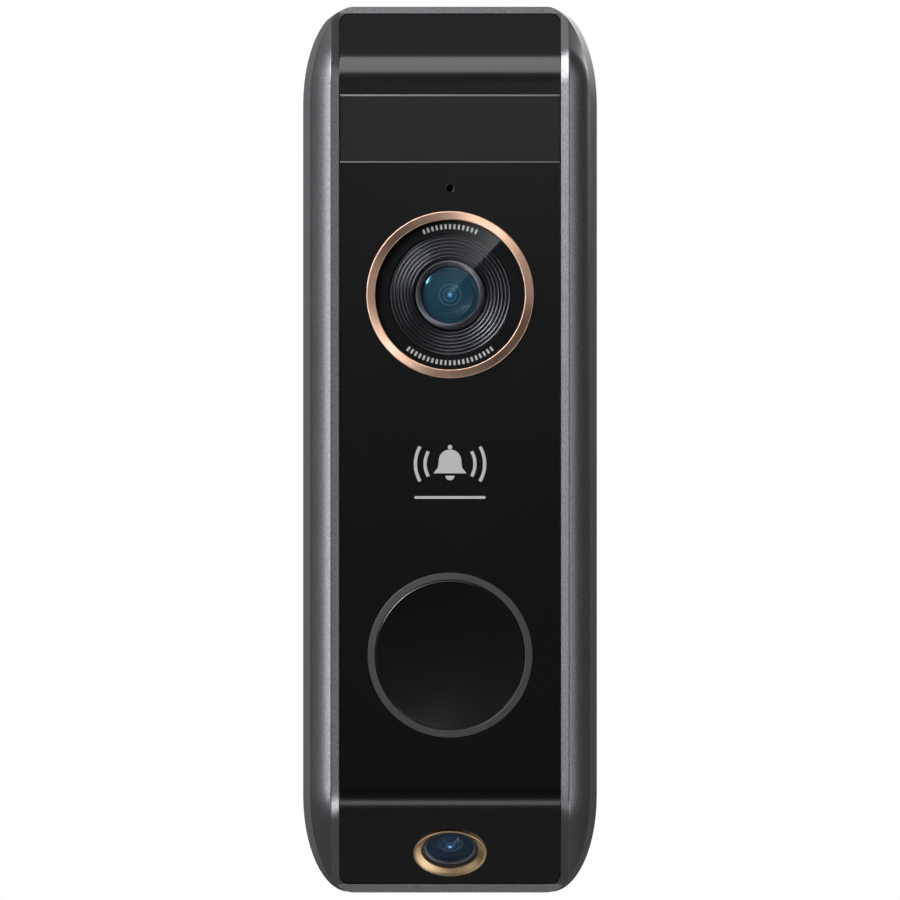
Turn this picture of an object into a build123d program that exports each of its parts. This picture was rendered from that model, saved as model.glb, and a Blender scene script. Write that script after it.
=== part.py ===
from build123d import *
import math
import os

# Battery video doorbell with two cameras, as an assembly of separate pieces.
# Frame: millimetres, +Z up, +X to the visitor's right, +Y into the wall.
# The origin is the centre of the two wall screws, on the wall plane, and the
# doorbell faces -Y.

# ---- driving dimensions -------------------------------------------------------

HEIGHT = 166.0            # overall, along Z
WIDTH = 55.2              # overall, along X, at the back
DEPTH = 28.0              # from the wall plane to the front crest
WALL_GAP = 0.5            # the rear housing's rim stands this far off the wall
SEAM_Y = -5.0             # plane where the front frame meets the rear housing
SEAM_WIDTH = 52.4         # width at that plane
CORNER_WIDE = 8.6         # semi-axes of the outline's elliptical corners
CORNER_TALL = 18.1
SLOPE = 51.2              # degrees that the top and bottom facets lean back
UPPER_BEND_Z = 72.65      # heights of the two bends in the front
LOWER_BEND_Z = -67.0
BEND_RADIUS = 8.5
CREST_X = 22.25           # half width between the two sharp crests of the frame
SHOULDER_ANGLE = 38.0     # degrees that the shoulder starts at, below the crest
CREST_RADIUS = 0.25
RIM_DROP = 0.8            # the rim slopes down this far from crest to panel
WALL = 2.0                # plastic wall thickness

OPENING_X = 20.75         # half width of the panel's opening
OPENING_TOP = 81.75
OPENING_BOTTOM = -81.4
OPENING_CORNER = 1.8
PANEL_GAP = 0.2           # shadow gap round the panel
PANEL_FRONT = 0.9         # depth of the panel's face below the crest
PANEL_THICK = 1.2
LEDGE_THICK = 1.9
LEDGE_WIDTH = 2.0

WINDOW_BOTTOM = 53.6      # motion window, across the whole panel
WINDOW_TOP = 66.1
WINDOW_THICK = 0.6
SEAM_LINE = 0.06

CAMERA_Z = 29.0
BUTTON_Z = -38.3
MICROPHONE_Z = 48.9
LOWER_CAMERA_Z = -75.3

RING_OUTER = 15.6         # rose-gold camera ring
RING_INNER = 14.0
COVER_DOME = 190.5        # radius of the cover's dome
BAFFLE_OUTER = 11.42      # ribbed funnel behind the cover
BAFFLE_INNER = 6.75
BAFFLE_RIBS = 7
LIGHT_OUTER = 15.4        # light ring round the button
LIGHT_INNER = 14.08
BUTTON_RADIUS = 14.0
DISH_RADIUS = 272.0       # radius of the button's hollow face
LOWER_RING = 6.85         # lower camera's ring

BOSS_X = 22.0             # six screws through the rear housing
BOSS_HEIGHTS = (-61.0, 6.0, 71.0)
SCREW_HEAD = 2.0
POST_X = 20.2             # four screws through the main board
POST_HEIGHTS = (-56.0, 46.0)
GASKET_WIDE = 0.9
GASKET_DEEP = 0.8
GASKET_INSET = 0.55
CELL_BOTTOM = -58.0
CELL_TOP = -1.0

RECESS_X = 17.5           # recess in the back for the wall bracket
RECESS_BOTTOM = -64.5
RECESS_TOP = 77.2
HINGE_Y = -3.2            # the line that the doorbell swings on
HINGE_Z = 78.0
BEAD_RADIUS = 1.1
TAB_X0 = 7.0              # each hook reaches from here
TAB_X1 = 15.0             # to here
PORT_Z = 53.0             # charging socket
SYNC_Z = 63.0
TERMINAL_X = 6.5          # bell-wire terminals
TERMINAL_Z = 9.5
SLOT_X = (6.0, 8.0, 10.0, 12.0, 14.0, 16.0)
COVER_TOP = 58.2          # rubber flap over the socket
COVER_BOTTOM = 48.2
COVER_HINGE_Y = -3.3
PIN_Y = -2.6              # hole for the release pin
CATCH_LIP_Y = -1.9
CATCH_POCKET_Z = -66.8

PLATE_Y = -2.5            # front of the wall plate
SCREW_HOLE_Z = 36.0       # wall screws, above and below the middle
SCREW_HOLE_R = 2.25
CATCH_ROOT_Z = -48.5      # where the sprung tongue starts

# ---- derived dimensions -------------------------------------------------------

HALF_HEIGHT = HEIGHT / 2
SLOPE_RAD = math.radians(SLOPE)
FRONT_Y = -DEPTH
BACK_Y = -WALL_GAP
PANEL_Y = FRONT_Y + PANEL_FRONT
PANEL_BACK = PANEL_FRONT + PANEL_THICK
PANEL_BACK_Y = FRONT_Y + PANEL_BACK
LEDGE_BACK = PANEL_BACK + LEDGE_THICK
SHOULDER_X = SEAM_WIDTH / 2
SHOULDER_RADIUS = (SHOULDER_X - CREST_X) / (1 - math.sin(math.radians(SHOULDER_ANGLE)))
SHOULDER_DEPTH = SHOULDER_RADIUS * math.cos(math.radians(SHOULDER_ANGLE))
RECESS_Y = -4.0           # floor of the bracket's recess in the back
INNER_Y = -6.0            # inside face of that floor
BOARD_FRONT_Y = -21.6     # main board
BOARD_BACK_Y = -20.4


# ---- helpers ------------------------------------------------------------------

def save(name, shape):
    """Writes one sub-part, named after the piece it is."""
    os.makedirs("parts", exist_ok=True)
    export_step(shape, f"parts/{name}.step")


def box(x0, x1, y0, y1, z0, z1):
    """A block between two corners."""
    return Pos((x0 + x1) / 2, (y0 + y1) / 2, (z0 + z1) / 2) * Box(x1 - x0, y1 - y0, z1 - z0)


def rod(radius, y0, y1, x=0.0, z=0.0):
    """A round bar along Y."""
    return Pos(x, (y0 + y1) / 2, z) * Rot(90, 0, 0) * Cylinder(radius, y1 - y0)


def tube(outer, inner, y0, y1, x=0.0, z=0.0):
    """A ring along Y."""
    return rod(outer, y0, y1, x, z) - rod(inner, y0 - 1, y1 + 1, x, z)


def turned(points, x=0.0, z=0.0):
    """A solid turned about the Y direction through (x, z), from (radius, y) points."""
    profile = make_face(Polyline(*[(r, y, 0) for r, y in points], close=True))
    return Pos(x, 0, z) * revolve(profile, Axis.Y, 360)


def plate_xz(face_sketch, y0, y1):
    """A sketch drawn in X and Z, extruded from y0 to y1."""
    plane = Plane(origin=(0, y0, 0), x_dir=(1, 0, 0), z_dir=(0, -1, 0))
    return extrude(plane * face_sketch, amount=-(y1 - y0))


def rounded(x0, x1, z0, z1, radius):
    """A rectangle with round corners, in X and Z."""
    shape = RectangleRounded(x1 - x0, z1 - z0, radius)
    return Pos((x0 + x1) / 2, (z0 + z1) / 2) * shape


def outline(width, wide, tall, inset=0.0):
    """The doorbell's outline: straight sides and elliptical corners, in X and Z."""
    half, top = width / 2 - inset, HALF_HEIGHT - inset
    right, upper = half - wide, top - tall
    lines = [Line((-right, top), (right, top)), Line((right, -top), (-right, -top))]
    for side in (1, -1):
        lines.append(Line((side * half, -upper), (side * half, upper)))
        for end in (1, -1):
            arc = EllipticalCenterArc((0, 0), wide, tall, 0, arc_size=90)
            if side < 0:
                arc = mirror(arc, Plane.YZ)
            if end < 0:
                arc = mirror(arc, Plane.XZ)
            lines.append(Pos(side * right, end * upper) * arc)
    return make_face(lines)


def slope_point(end, z, depth):
    """Y and Z on the leaning facet at height z, this deep below its surface."""
    bend = UPPER_BEND_Z if end > 0 else LOWER_BEND_Z
    y = FRONT_Y + abs(z - bend) * math.tan(SLOPE_RAD) + depth / math.cos(SLOPE_RAD)
    return y, z


def behind(depth):
    """Everything behind the surface that lies this deep below the front."""
    half_turn = depth * math.tan(SLOPE_RAD / 2)
    reach = HALF_HEIGHT + 5
    corners = [
        (FRONT_Y + depth, LOWER_BEND_Z + half_turn),
        (FRONT_Y + depth, UPPER_BEND_Z - half_turn),
    ]
    points = [
        (20, -reach),
        slope_point(-1, -reach, depth),
        *corners,
        slope_point(1, reach, depth),
        (20, reach),
    ]
    side = make_face(Polyline(*points, close=True))
    bends = [v for v in side.vertices() if any(
        abs(v.X - y) < 0.01 and abs(v.Y - z) < 0.01 for y, z in corners)]
    side = fillet(bends, BEND_RADIUS - depth)
    plane = Plane(origin=(-40, 0, 0), x_dir=(0, 1, 0), z_dir=(1, 0, 0))
    return extrude(plane * side, amount=80)


def along_front(section):
    """Sweeps a section, drawn as x and depth, up the lower facet, the face and the upper one."""
    lean = math.tan(SLOPE_RAD / 2) * BEND_RADIUS
    up = Vector(0, 0, 1)
    lower = Vector(0, -math.sin(SLOPE_RAD), math.cos(SLOPE_RAD))
    upper = Vector(0, math.sin(SLOPE_RAD), math.cos(SLOPE_RAD))
    low_bend = Vector(0, FRONT_Y, LOWER_BEND_Z)
    high_bend = Vector(0, FRONT_Y, UPPER_BEND_Z)
    reach = 30.0

    def plane_at(point, way):
        return Plane(origin=point, x_dir=(1, 0, 0), z_dir=way)

    def bend(point, way):
        centre = Vector(point) + plane_at(point, way).y_dir * BEND_RADIUS
        return revolve(plane_at(point, way) * section, Axis(centre, (-1, 0, 0)), SLOPE)

    start = low_bend - lower * lean
    swept = extrude(plane_at(start - lower * reach, lower) * section, amount=reach)
    swept += bend(start, lower)
    face_start = low_bend + up * lean
    face_end = high_bend - up * lean
    swept += extrude(plane_at(face_start, up) * section, amount=(face_end - face_start).length)
    swept += bend(face_end, up)
    swept += extrude(plane_at(high_bend + upper * lean, upper) * section, amount=reach)
    return swept


# ---- casing -------------------------------------------------------------------

def crest_waste():
    """What is cut from the block to leave the front face and its two round shoulders."""
    outside = SHOULDER_X + 4
    above = -14
    lines = []
    for side in (1, -1):
        crest = (side * CREST_X, 0)
        foot = (side * SHOULDER_X, SHOULDER_DEPTH)
        centre = (side * (SHOULDER_X - SHOULDER_RADIUS), SHOULDER_DEPTH)
        middle_angle = math.radians((90 + SHOULDER_ANGLE) / 2)
        middle = (
            centre[0] + side * SHOULDER_RADIUS * math.sin(middle_angle),
            centre[1] - SHOULDER_RADIUS * math.cos(middle_angle),
        )
        lines.append(ThreePointArc(crest, middle, foot))
        lines.append(Polyline(foot, (side * outside, SHOULDER_DEPTH), (side * outside, above)))
    lines.append(Line((CREST_X, 0), (-CREST_X, 0)))
    lines.append(Line((outside, above), (-outside, above)))
    return along_front(make_face(lines))


def crest_edges(block):
    """The sharp edges between the shoulders and the sloping rim."""
    crest = []
    for edge in block.edges():
        points = [edge @ 0, edge @ 0.5, edge @ 1]
        if all(abs(abs(point.X) - CREST_X) < 0.01 for point in points):
            crest.append(edge)
    return crest


def rim_tray():
    """The shallow tray whose sides are the sloping rim and whose floor takes the panel."""
    spread = (CREST_X - OPENING_X) / RIM_DROP
    above = 0.6
    lip = CREST_X + above * spread
    section = make_face(Polyline(
        (-lip, -above), (lip, -above), (OPENING_X, RIM_DROP), (-OPENING_X, RIM_DROP),
        close=True))
    top_edge = slope_point(1, HALF_HEIGHT, 0)
    top_foot = slope_point(1, OPENING_TOP, RIM_DROP)
    bottom_edge = slope_point(-1, -HALF_HEIGHT, 0)
    bottom_foot = slope_point(-1, OPENING_BOTTOM, RIM_DROP)
    side = make_face(Polyline(
        (-45, HALF_HEIGHT), top_edge, top_foot, bottom_foot, bottom_edge, (-45, -HALF_HEIGHT),
        close=True))
    plane = Plane(origin=(-40, 0, 0), x_dir=(0, 1, 0), z_dir=(1, 0, 0))
    return along_front(section) & extrude(plane * side, amount=80)


def opening(inset, y0=-40.0, y1=20.0):
    """The panel's outline, drawn in by inset, as a cutter through the front."""
    shape = rounded(
        -OPENING_X + inset, OPENING_X - inset,
        OPENING_BOTTOM + inset, OPENING_TOP - inset, max(OPENING_CORNER - inset, 0.6))
    return plate_xz(shape, y0, y1)


def gasket_ring(grow=0.0):
    """A thin ring in the frame's back edge: the seal, or grown a little, its groove."""
    seam = CORNER_WIDE * SEAM_WIDTH / WIDTH
    outer = outline(SEAM_WIDTH, seam - 0.5, CORNER_TALL - 0.5, GASKET_INSET - grow)
    inner = outline(
        SEAM_WIDTH, seam - 1.2, CORNER_TALL - 1.2, GASKET_INSET + GASKET_WIDE + grow)
    y0, y1 = SEAM_Y - GASKET_DEEP - grow, SEAM_Y
    return plate_xz(outer, y0, y1) - plate_xz(inner, y0 - 1, y1 + 1)


def front_frame():
    """The metal-finished frame: a deep shell with round shoulders and a sloping rim."""
    seam = CORNER_WIDE * SEAM_WIDTH / WIDTH
    block = plate_xz(outline(SEAM_WIDTH, seam, CORNER_TALL), FRONT_Y - 1, SEAM_Y)
    block -= crest_waste()
    block -= rim_tray()
    block = fillet(crest_edges(block), CREST_RADIUS)
    block -= opening(0.0) - behind(PANEL_BACK)
    block -= opening(LEDGE_WIDTH) & behind(PANEL_BACK - 0.1)
    cavity = plate_xz(outline(SEAM_WIDTH, seam - 1.4, CORNER_TALL - 1.4, WALL), -40, 20)
    block -= cavity & behind(LEDGE_BACK)
    for side in (1, -1):
        for z in BOSS_HEIGHTS:
            boss = rod(2.4, -17, SEAM_Y, side * BOSS_X, z)
            rib = box(min(side * BOSS_X, side * 25), max(side * BOSS_X, side * 25),
                      -17, SEAM_Y - GASKET_DEEP, z - 1, z + 1)
            block += boss + rib
            block -= rod(0.9, -16, 0, side * BOSS_X, z)
        for z in POST_HEIGHTS:
            post = rod(1.6, FRONT_Y + LEDGE_BACK - 0.5, BOARD_FRONT_Y, side * POST_X, z)
            block += post
            block -= rod(0.6, -23.4, 0, side * POST_X, z)
    return block - gasket_ring(0.04)


def port_slot(wide, tall, y0, y1):
    """An obround bar along Y, at the charging port."""
    return plate_xz(Pos(0, PORT_Z) * SlotOverall(wide, tall), y0, y1)


def rear_housing():
    """The tub that closes the back, with the bracket's recess, hook pockets and ports."""
    seam = CORNER_WIDE * SEAM_WIDTH / WIDTH
    back = Plane(origin=(0, BACK_Y, 0), x_dir=(1, 0, 0), z_dir=(0, -1, 0))
    front = Plane(origin=(0, SEAM_Y, 0), x_dir=(1, 0, 0), z_dir=(0, -1, 0))
    tub = loft([
        back * outline(WIDTH, CORNER_WIDE, CORNER_TALL),
        front * outline(SEAM_WIDTH, seam, CORNER_TALL),
    ])
    tub += plate_xz(rounded(-19.0, 19.0, -66.0, 79.5, 4), INNER_Y, SEAM_Y)
    for side in (1, -1):
        tub += rod(3.6, -9.0, INNER_Y, side * TERMINAL_X, TERMINAL_Z)
    tub -= plate_xz(rounded(-RECESS_X, RECESS_X, RECESS_BOTTOM, RECESS_TOP, 3), RECESS_Y, 5)
    wedge = make_face(Polyline(
        (BACK_Y + 1, HALF_HEIGHT - 3.2), (BACK_Y + 1, HALF_HEIGHT + 1), (-4.25, HALF_HEIGHT + 1),
        close=True))
    plane = Plane(origin=(-40, 0, 0), x_dir=(0, 1, 0), z_dir=(1, 0, 0))
    tub -= extrude(plane * wedge, amount=80)
    for side in (1, -1):
        x0, x1 = sorted((side * (TAB_X0 - 0.3), side * (TAB_X1 + 0.3)))
        socket = Pos((x0 + x1) / 2, HINGE_Y, HINGE_Z) * Rot(0, 90, 0) * Cylinder(
            BEAD_RADIUS + 0.08, x1 - x0)
        tub -= socket + box(x0, x1, -4.38, -2.0, RECESS_TOP - 1, HINGE_Z)
        for z in BOSS_HEIGHTS:
            tub -= rod(SCREW_HEAD + 0.15, -3.4, 5, side * BOSS_X, z)
            tub -= rod(1.15, -12, 5, side * BOSS_X, z)
        tub -= rod(1.55, -12, 0, side * TERMINAL_X, TERMINAL_Z)
        tub -= rod(2.5, -12, RECESS_Y - 0.6, side * TERMINAL_X, TERMINAL_Z)
        for x in SLOT_X:
            tub -= box(side * x - 0.5, side * x + 0.5, -4.2, -2.0, -90, -79)
        plenum = sorted((side * 5.0, side * 17.0))
        tub -= box(*plenum, -9, -1.7, -80.4, -72.0)
    tub -= port_slot(9.8, 4.1, -5.2, 0)
    tub -= port_slot(9.3, 3.6, -12, 0)
    tub -= rod(2.6, -12, 0, 0, SYNC_Z)
    tub -= box(-3.0, 3.0, -3.6, CATCH_LIP_Y, CATCH_POCKET_Z, RECESS_BOTTOM + 1)
    tub -= Pos(0, PIN_Y, -75) * Cylinder(0.75, 18)
    return tub


def housing_screws():
    """Six self-tapping screws that hold the rear housing to the frame."""
    screws = []
    for side in (1, -1):
        for z in BOSS_HEIGHTS:
            x = side * BOSS_X
            screw = turned([
                (0, -3.4), (SCREW_HEAD, -3.4), (SCREW_HEAD, -2.4), (SCREW_HEAD - 0.5, -1.9),
                (0, -1.9)], x, z)
            screw += turned([(0, -13.5), (0.85, -12.5), (0.85, -3.4), (0, -3.4)], x, z)
            cross = box(x - 1.1, x + 1.1, -2.6, -1, z - 0.22, z + 0.22)
            cross += box(x - 0.22, x + 0.22, -2.6, -1, z - 1.1, z + 1.1)
            screws.append(screw - cross)
    return Compound(children=screws)


# ---- front panel --------------------------------------------------------------

def lower_place():
    """Where the lower camera sits: local +Z out of the facet, at the panel's face."""
    y, z = slope_point(-1, LOWER_CAMERA_Z, PANEL_FRONT)
    out = (0, -math.cos(SLOPE_RAD), -math.sin(SLOPE_RAD))
    return Location(Plane(origin=(0, y, z), x_dir=(1, 0, 0), z_dir=out))


def lathe(points):
    """A solid turned about local Z, from (radius, height) points, for the lower camera."""
    profile = make_face(Polyline(*[(r, 0, h) for r, h in points], close=True))
    return lower_place() * revolve(profile, Axis.Z, 360)


def front_panel():
    """The glossy face: one bent sheet with a channel for the motion window."""
    width = OPENING_X + 2
    sheet = along_front(make_face(Polyline(
        (-width, PANEL_FRONT), (width, PANEL_FRONT), (width, PANEL_BACK), (-width, PANEL_BACK),
        close=True)))
    sheet &= opening(PANEL_GAP)
    floor = PANEL_Y + WINDOW_THICK
    sheet -= box(-30, 30, -40, floor, WINDOW_BOTTOM - SEAM_LINE, WINDOW_TOP + SEAM_LINE)
    sheet -= plate_xz(rounded(-10, 10, 55.4, 64.4, 2), -40, 0)
    sheet -= rod(RING_OUTER + 0.05, -40, 0, 0, CAMERA_Z)
    sheet -= rod(LIGHT_OUTER + 0.05, -40, 0, 0, BUTTON_Z)
    sheet -= rod(0.65, -40, 0, 0, MICROPHONE_Z)
    sheet -= turned([(0, -27.5), (1.2, -27.5), (0.65, -26.95), (0, -26.95)], 0, MICROPHONE_Z)
    sheet -= lathe([(0, -8), (LOWER_RING + 0.05, -8), (LOWER_RING + 0.05, 4), (0, 4)])
    return sheet


def motion_window():
    """The dark infrared window, flush in the panel's channel."""
    window = plate_xz(
        rounded(-OPENING_X + PANEL_GAP, OPENING_X - PANEL_GAP, WINDOW_BOTTOM, WINDOW_TOP, 0.2),
        PANEL_Y, PANEL_Y + WINDOW_THICK)
    front_edges = window.edges().filter_by(Axis.X).group_by(Axis.Y)[0]
    return chamfer(front_edges, 0.16)


def motion_lens():
    """The moulded lens behind the window that steers heat onto the sensor."""
    lens = plate_xz(rounded(-9.7, 9.7, 55.7, 64.1, 1.7), -26.45, -25.75)
    for step in range(5):
        radius = 2.0 + step * 0.9
        lens -= tube(radius + 0.15, radius - 0.15, -25.95, -25.0, 0, 59.85)
    return lens


def motion_sensor():
    """The can that holds the heat sensor, with its window in front."""
    can = turned([
        (0, BOARD_FRONT_Y), (4.6, BOARD_FRONT_Y), (4.6, -22.1), (4.1, -22.1), (4.1, -24.9),
        (0, -24.9)], 0, 59.85)
    return can - box(-1.7, 1.7, -25.5, -24.7, 58.5, 61.2)


def microphone():
    """The microphone's metal can on the main board."""
    return box(-1.9, 1.9, -22.7, BOARD_FRONT_Y, MICROPHONE_Z - 1.4, MICROPHONE_Z + 1.4)


def microphone_boot():
    """The rubber boot that joins the panel's hole to the microphone."""
    boot = rod(3.2, PANEL_BACK_Y, BOARD_FRONT_Y, 0, MICROPHONE_Z)
    boot -= rod(0.65, -40, 0, 0, MICROPHONE_Z)
    return boot - box(-1.95, 1.95, -22.75, 0, MICROPHONE_Z - 1.45, MICROPHONE_Z + 1.45)


# ---- main camera --------------------------------------------------------------

def camera_ring():
    """The rose-gold ring round the camera, with a crowned top."""
    crown = ThreePointArc(
        (RING_INNER, -27.3), ((RING_INNER + RING_OUTER) / 2, -27.58), (RING_OUTER, -27.3))
    sides = Polyline(
        (RING_INNER, -27.3), (RING_INNER, -24.6), (RING_OUTER, -24.6), (RING_OUTER, -27.3))
    return Pos(0, 0, CAMERA_Z) * revolve(make_face([crown, sides]), Axis.Y, 360)


def camera_cover_glass():
    """The clear cover, a little proud in its middle."""
    dome = Pos(0, COVER_DOME - 27.3, CAMERA_Z) * Sphere(COVER_DOME)
    return rod(RING_INNER - 0.03, -27.4, -26.3, 0, CAMERA_Z) & dome


def camera_mask():
    """The black printed border behind the cover."""
    return tube(RING_INNER - 0.03, 11.45, -26.3, -26.1, 0, CAMERA_Z)


def camera_baffle():
    """The funnel round the lens, with one round rib for each step."""
    pitch = (BAFFLE_OUTER - BAFFLE_INNER) / BAFFLE_RIBS
    drop = 0.3
    rim = RING_INNER - 0.03
    lines = [Line((rim, -26.1), (BAFFLE_OUTER, -26.1))]
    end = (BAFFLE_OUTER, -26.1)
    for rib in range(BAFFLE_RIBS):
        radius = BAFFLE_OUTER - rib * pitch
        y = -25.7 + rib * drop
        lines.append(Line(end, (radius, y)))
        end = (radius - pitch * 0.72, y)
        lines.append(ThreePointArc((radius, y), (radius - pitch * 0.36, y - 0.22), end))
        if rib < BAFFLE_RIBS - 1:
            foot = (radius - pitch * 0.72, y + 0.12)
            lines.append(Line(end, foot))
            end = (radius - pitch, y + 0.12)
            lines.append(Line(foot, end))
    lines.append(Polyline(end, (end[0], -22.8), (rim, -22.8), (rim, -26.1)))
    return Pos(0, 0, CAMERA_Z) * revolve(make_face(lines), Axis.Y, 360)


def camera_barrel():
    """The lens barrel, whose grey front ring holds the outer element."""
    return turned([
        (5.3, -24.2), (5.5, -24.75), (6.3, -24.75), (6.6, -24.45), (6.6, -22.6), (7.4, -22.4),
        (7.4, -12.0), (6.0, -12.0), (6.0, -20.4), (4.6, -20.9), (4.6, -22.6), (5.3, -22.6)],
        0, CAMERA_Z)


def camera_front_lens():
    """The domed outer element."""
    dome = Pos(0, -15.2, CAMERA_Z) * Sphere(9.9)
    element = rod(5.27, -25.4, -22.65, 0, CAMERA_Z) & dome
    hollow = Pos(0, -18.9, CAMERA_Z) * Sphere(4.6)
    return element - hollow


def camera_iris():
    """The stop behind the outer element, with its small bright-edged eye."""
    return turned([
        (1.1, -21.6), (1.9, -22.3), (2.15, -22.3), (4.5, -21.4), (4.5, -21.0), (1.1, -21.0)],
        0, CAMERA_Z)


def camera_inner_lens():
    """The second element, seen through the eye of the stop."""
    dome = Pos(0, -18.4, CAMERA_Z) * Sphere(3.2)
    eye = rod(1.05, -23, -20.95, 0, CAMERA_Z) & dome
    return eye + rod(5.9, -20.3, -18.0, 0, CAMERA_Z) + rod(1.05, -21.2, -20.2, 0, CAMERA_Z)


def camera_holder():
    """The square mount that carries the barrel over the image sensor."""
    holder = box(-8.6, 8.6, -16.5, -8.2, CAMERA_Z - 8.6, CAMERA_Z + 8.6)
    holder -= rod(7.45, -20, -11.9, 0, CAMERA_Z)
    return holder - box(-5.5, 5.5, -12.5, -8, CAMERA_Z - 5.5, CAMERA_Z + 5.5)


def image_sensor():
    """The image sensor, on the camera's board."""
    return box(-3.8, 3.8, -9.4, -8.2, CAMERA_Z - 3.2, CAMERA_Z + 3.2)


def camera_board():
    """The camera's own small board."""
    board = box(-10, 10, -8.2, -7.2, CAMERA_Z - 9.5, CAMERA_Z + 9.5)
    return board + box(-4, 4, -7.2, -6.4, CAMERA_Z - 8.5, CAMERA_Z - 5.5)


# ---- lower camera -------------------------------------------------------------

def lower_camera_ring():
    """The champagne ring: a thin lip, then a cone down to the glass."""
    return lathe([
        (5.4, -2.4), (5.4, -0.45), (6.5, 0.35), (6.7, 0.45), (LOWER_RING, 0.3),
        (LOWER_RING, -2.4)])


def lower_camera_glass():
    """The clear cover over the lower lens."""
    blank = lathe([(0, -0.8), (5.37, -0.8), (5.37, -0.3), (0, -0.3)])
    return blank & lower_place() * Pos(0, 0, -0.36 - 80.0) * Sphere(80.0)


def lower_camera_barrel():
    """The lower lens barrel and its step rings."""
    return lathe([
        (4.5, -1.6), (4.65, -0.9), (5.15, -0.9), (5.37, -1.15), (5.37, -6.6), (3.4, -6.6),
        (3.4, -4.4), (2.6, -3.6), (2.6, -2.65), (4.5, -2.5)])


def lower_camera_lens():
    """The domed outer element of the lower camera."""
    blank = lathe([(0, -0.8), (4.45, -0.8), (4.45, -2.35), (2.9, -2.5), (0, -1.65)])
    return blank & lower_place() * Pos(0, 0, -0.85 - 14.0) * Sphere(14.0)


def lower_camera_inner_lens():
    """The small inner element of the lower camera."""
    return lathe([
        (0, -1.72), (0.8, -2.0), (1.5, -2.3), (2.5, -2.55), (2.5, -3.6), (3.3, -4.5),
        (3.3, -5.4), (0, -5.4)])


def lower_camera_board():
    """The lower camera's board, square to its lens, with its image sensor."""
    board = Pos(0, 0, -7.8) * Box(11, 9, 1.0)
    return lower_place() * (board + Pos(0, 0, -6.95) * Box(4.8, 4.0, 0.7))


# ---- ring button --------------------------------------------------------------

def ring_button():
    """The round button: a slightly dished cap with a stem."""
    cap = turned([
        (0, -27.1), (BUTTON_RADIUS - 0.15, -27.1), (BUTTON_RADIUS, -26.98),
        (BUTTON_RADIUS, -25.6), (3.0, -25.6), (2.4, -25.2), (2.4, -24.4), (0, -24.4)],
        0, BUTTON_Z)
    return cap - Pos(0, -26.75 - DISH_RADIUS, BUTTON_Z) * Sphere(DISH_RADIUS)


def button_light_ring():
    """The light guide round the button."""
    return turned([
        (LIGHT_INNER, -22.4), (LIGHT_INNER, -27.15), (LIGHT_INNER + 0.1, -27.25),
        (LIGHT_OUTER - 0.12, -27.1), (LIGHT_OUTER, -26.98), (LIGHT_OUTER, -22.4)],
        0, BUTTON_Z)


def button_pad():
    """The silicone pad that returns the button."""
    return turned([
        (9.0, BOARD_FRONT_Y), (9.0, -22.2), (11.6, -25.5), (12.4, -25.5), (12.4, -24.9),
        (10.6, -22.0), (12.6, -22.0), (12.6, BOARD_FRONT_Y)], 0, BUTTON_Z)


def button_switch():
    """The tactile switch on the main board."""
    body = box(-3, 3, -23.6, BOARD_FRONT_Y, BUTTON_Z - 3, BUTTON_Z + 3)
    body -= rod(1.75, -30, -22.4, 0, BUTTON_Z)
    return body


def switch_plunger():
    """The switch's plunger, which the button's stem presses."""
    return rod(1.65, -24.4, -23.1, 0, BUTTON_Z)


def button_lamps():
    """Eight lamps under the light guide."""
    lamps = []
    for step in range(8):
        lamp = Pos(14.8, 0, 0) * Box(0.9, 0.7, 1.6)
        lamps.append(Pos(0, BOARD_FRONT_Y - 0.35, BUTTON_Z) * Rot(0, 45.0 * step, 0) * lamp)
    return Compound(children=lamps)


# ---- electronics --------------------------------------------------------------

def main_board():
    """The long board behind the panel, pierced for the camera."""
    board = plate_xz(rounded(-21.4, 21.4, -60, 68, 2), BOARD_FRONT_Y, BOARD_BACK_Y)
    board -= rod(9.2, -40, 0, 0, CAMERA_Z)
    for side in (1, -1):
        for z in POST_HEIGHTS:
            board -= rod(0.95, -40, 0, side * POST_X, z)
    return board


def board_screws():
    """Four small screws from the main board into the frame."""
    screws = []
    for side in (1, -1):
        for z in POST_HEIGHTS:
            x = side * POST_X
            screws.append(turned([
                (0, BOARD_BACK_Y + 0.7), (1.4, BOARD_BACK_Y + 0.7), (1.5, BOARD_BACK_Y),
                (0.58, BOARD_BACK_Y), (0.58, -23.0), (0, -23.2)], x, z))
    return Compound(children=screws)


def processor_shield():
    """The metal can over the processor, on the board's front."""
    return plate_xz(rounded(-9, 9, -14, 4, 0.8), -23.9, BOARD_FRONT_Y)


def board_chips():
    """Memory, radio and power chips on the main board."""
    places = [(-14, -10, 7, 7, 1.1), (14.5, -6, 5, 8, 1.0), (13, 6, 6, 5, 1.2),
              (-14.5, 2.5, 5, 5, 0.9), (-16, 53, 5, 5, 1.0), (16, 58, 4, 6, 1.1)]
    chips = [
        box(x - w / 2, x + w / 2, BOARD_FRONT_Y - t, BOARD_FRONT_Y, z - h / 2, z + h / 2)
        for x, z, w, h, t in places]
    return Compound(children=chips)


def antenna():
    """The flat radio antenna at the top of the casing."""
    strip = plate_xz(rounded(-14, 14, 69.2, 75.2, 1), -20.4, -19.8)
    for step in range(3):
        strip -= box(-11 + 7 * step, -9.8 + 7 * step, -22, -19, 70.6, 80)
    return strip


def power_board():
    """The board at the back that carries the charging socket and the sync switch."""
    return plate_xz(rounded(-18.8, 18.8, 44.5, 75, 1.5), -13.2, -12.0)


def charging_port():
    """The charging socket: a folded metal shell round a plastic tongue."""
    shell = port_slot(8.94, 3.26, -12.0, -5.3) - port_slot(8.3, 2.6, -11.0, 0)
    return shell + box(-3.3, 3.3, -11.2, -6.2, PORT_Z - 0.35, PORT_Z + 0.35)


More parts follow.
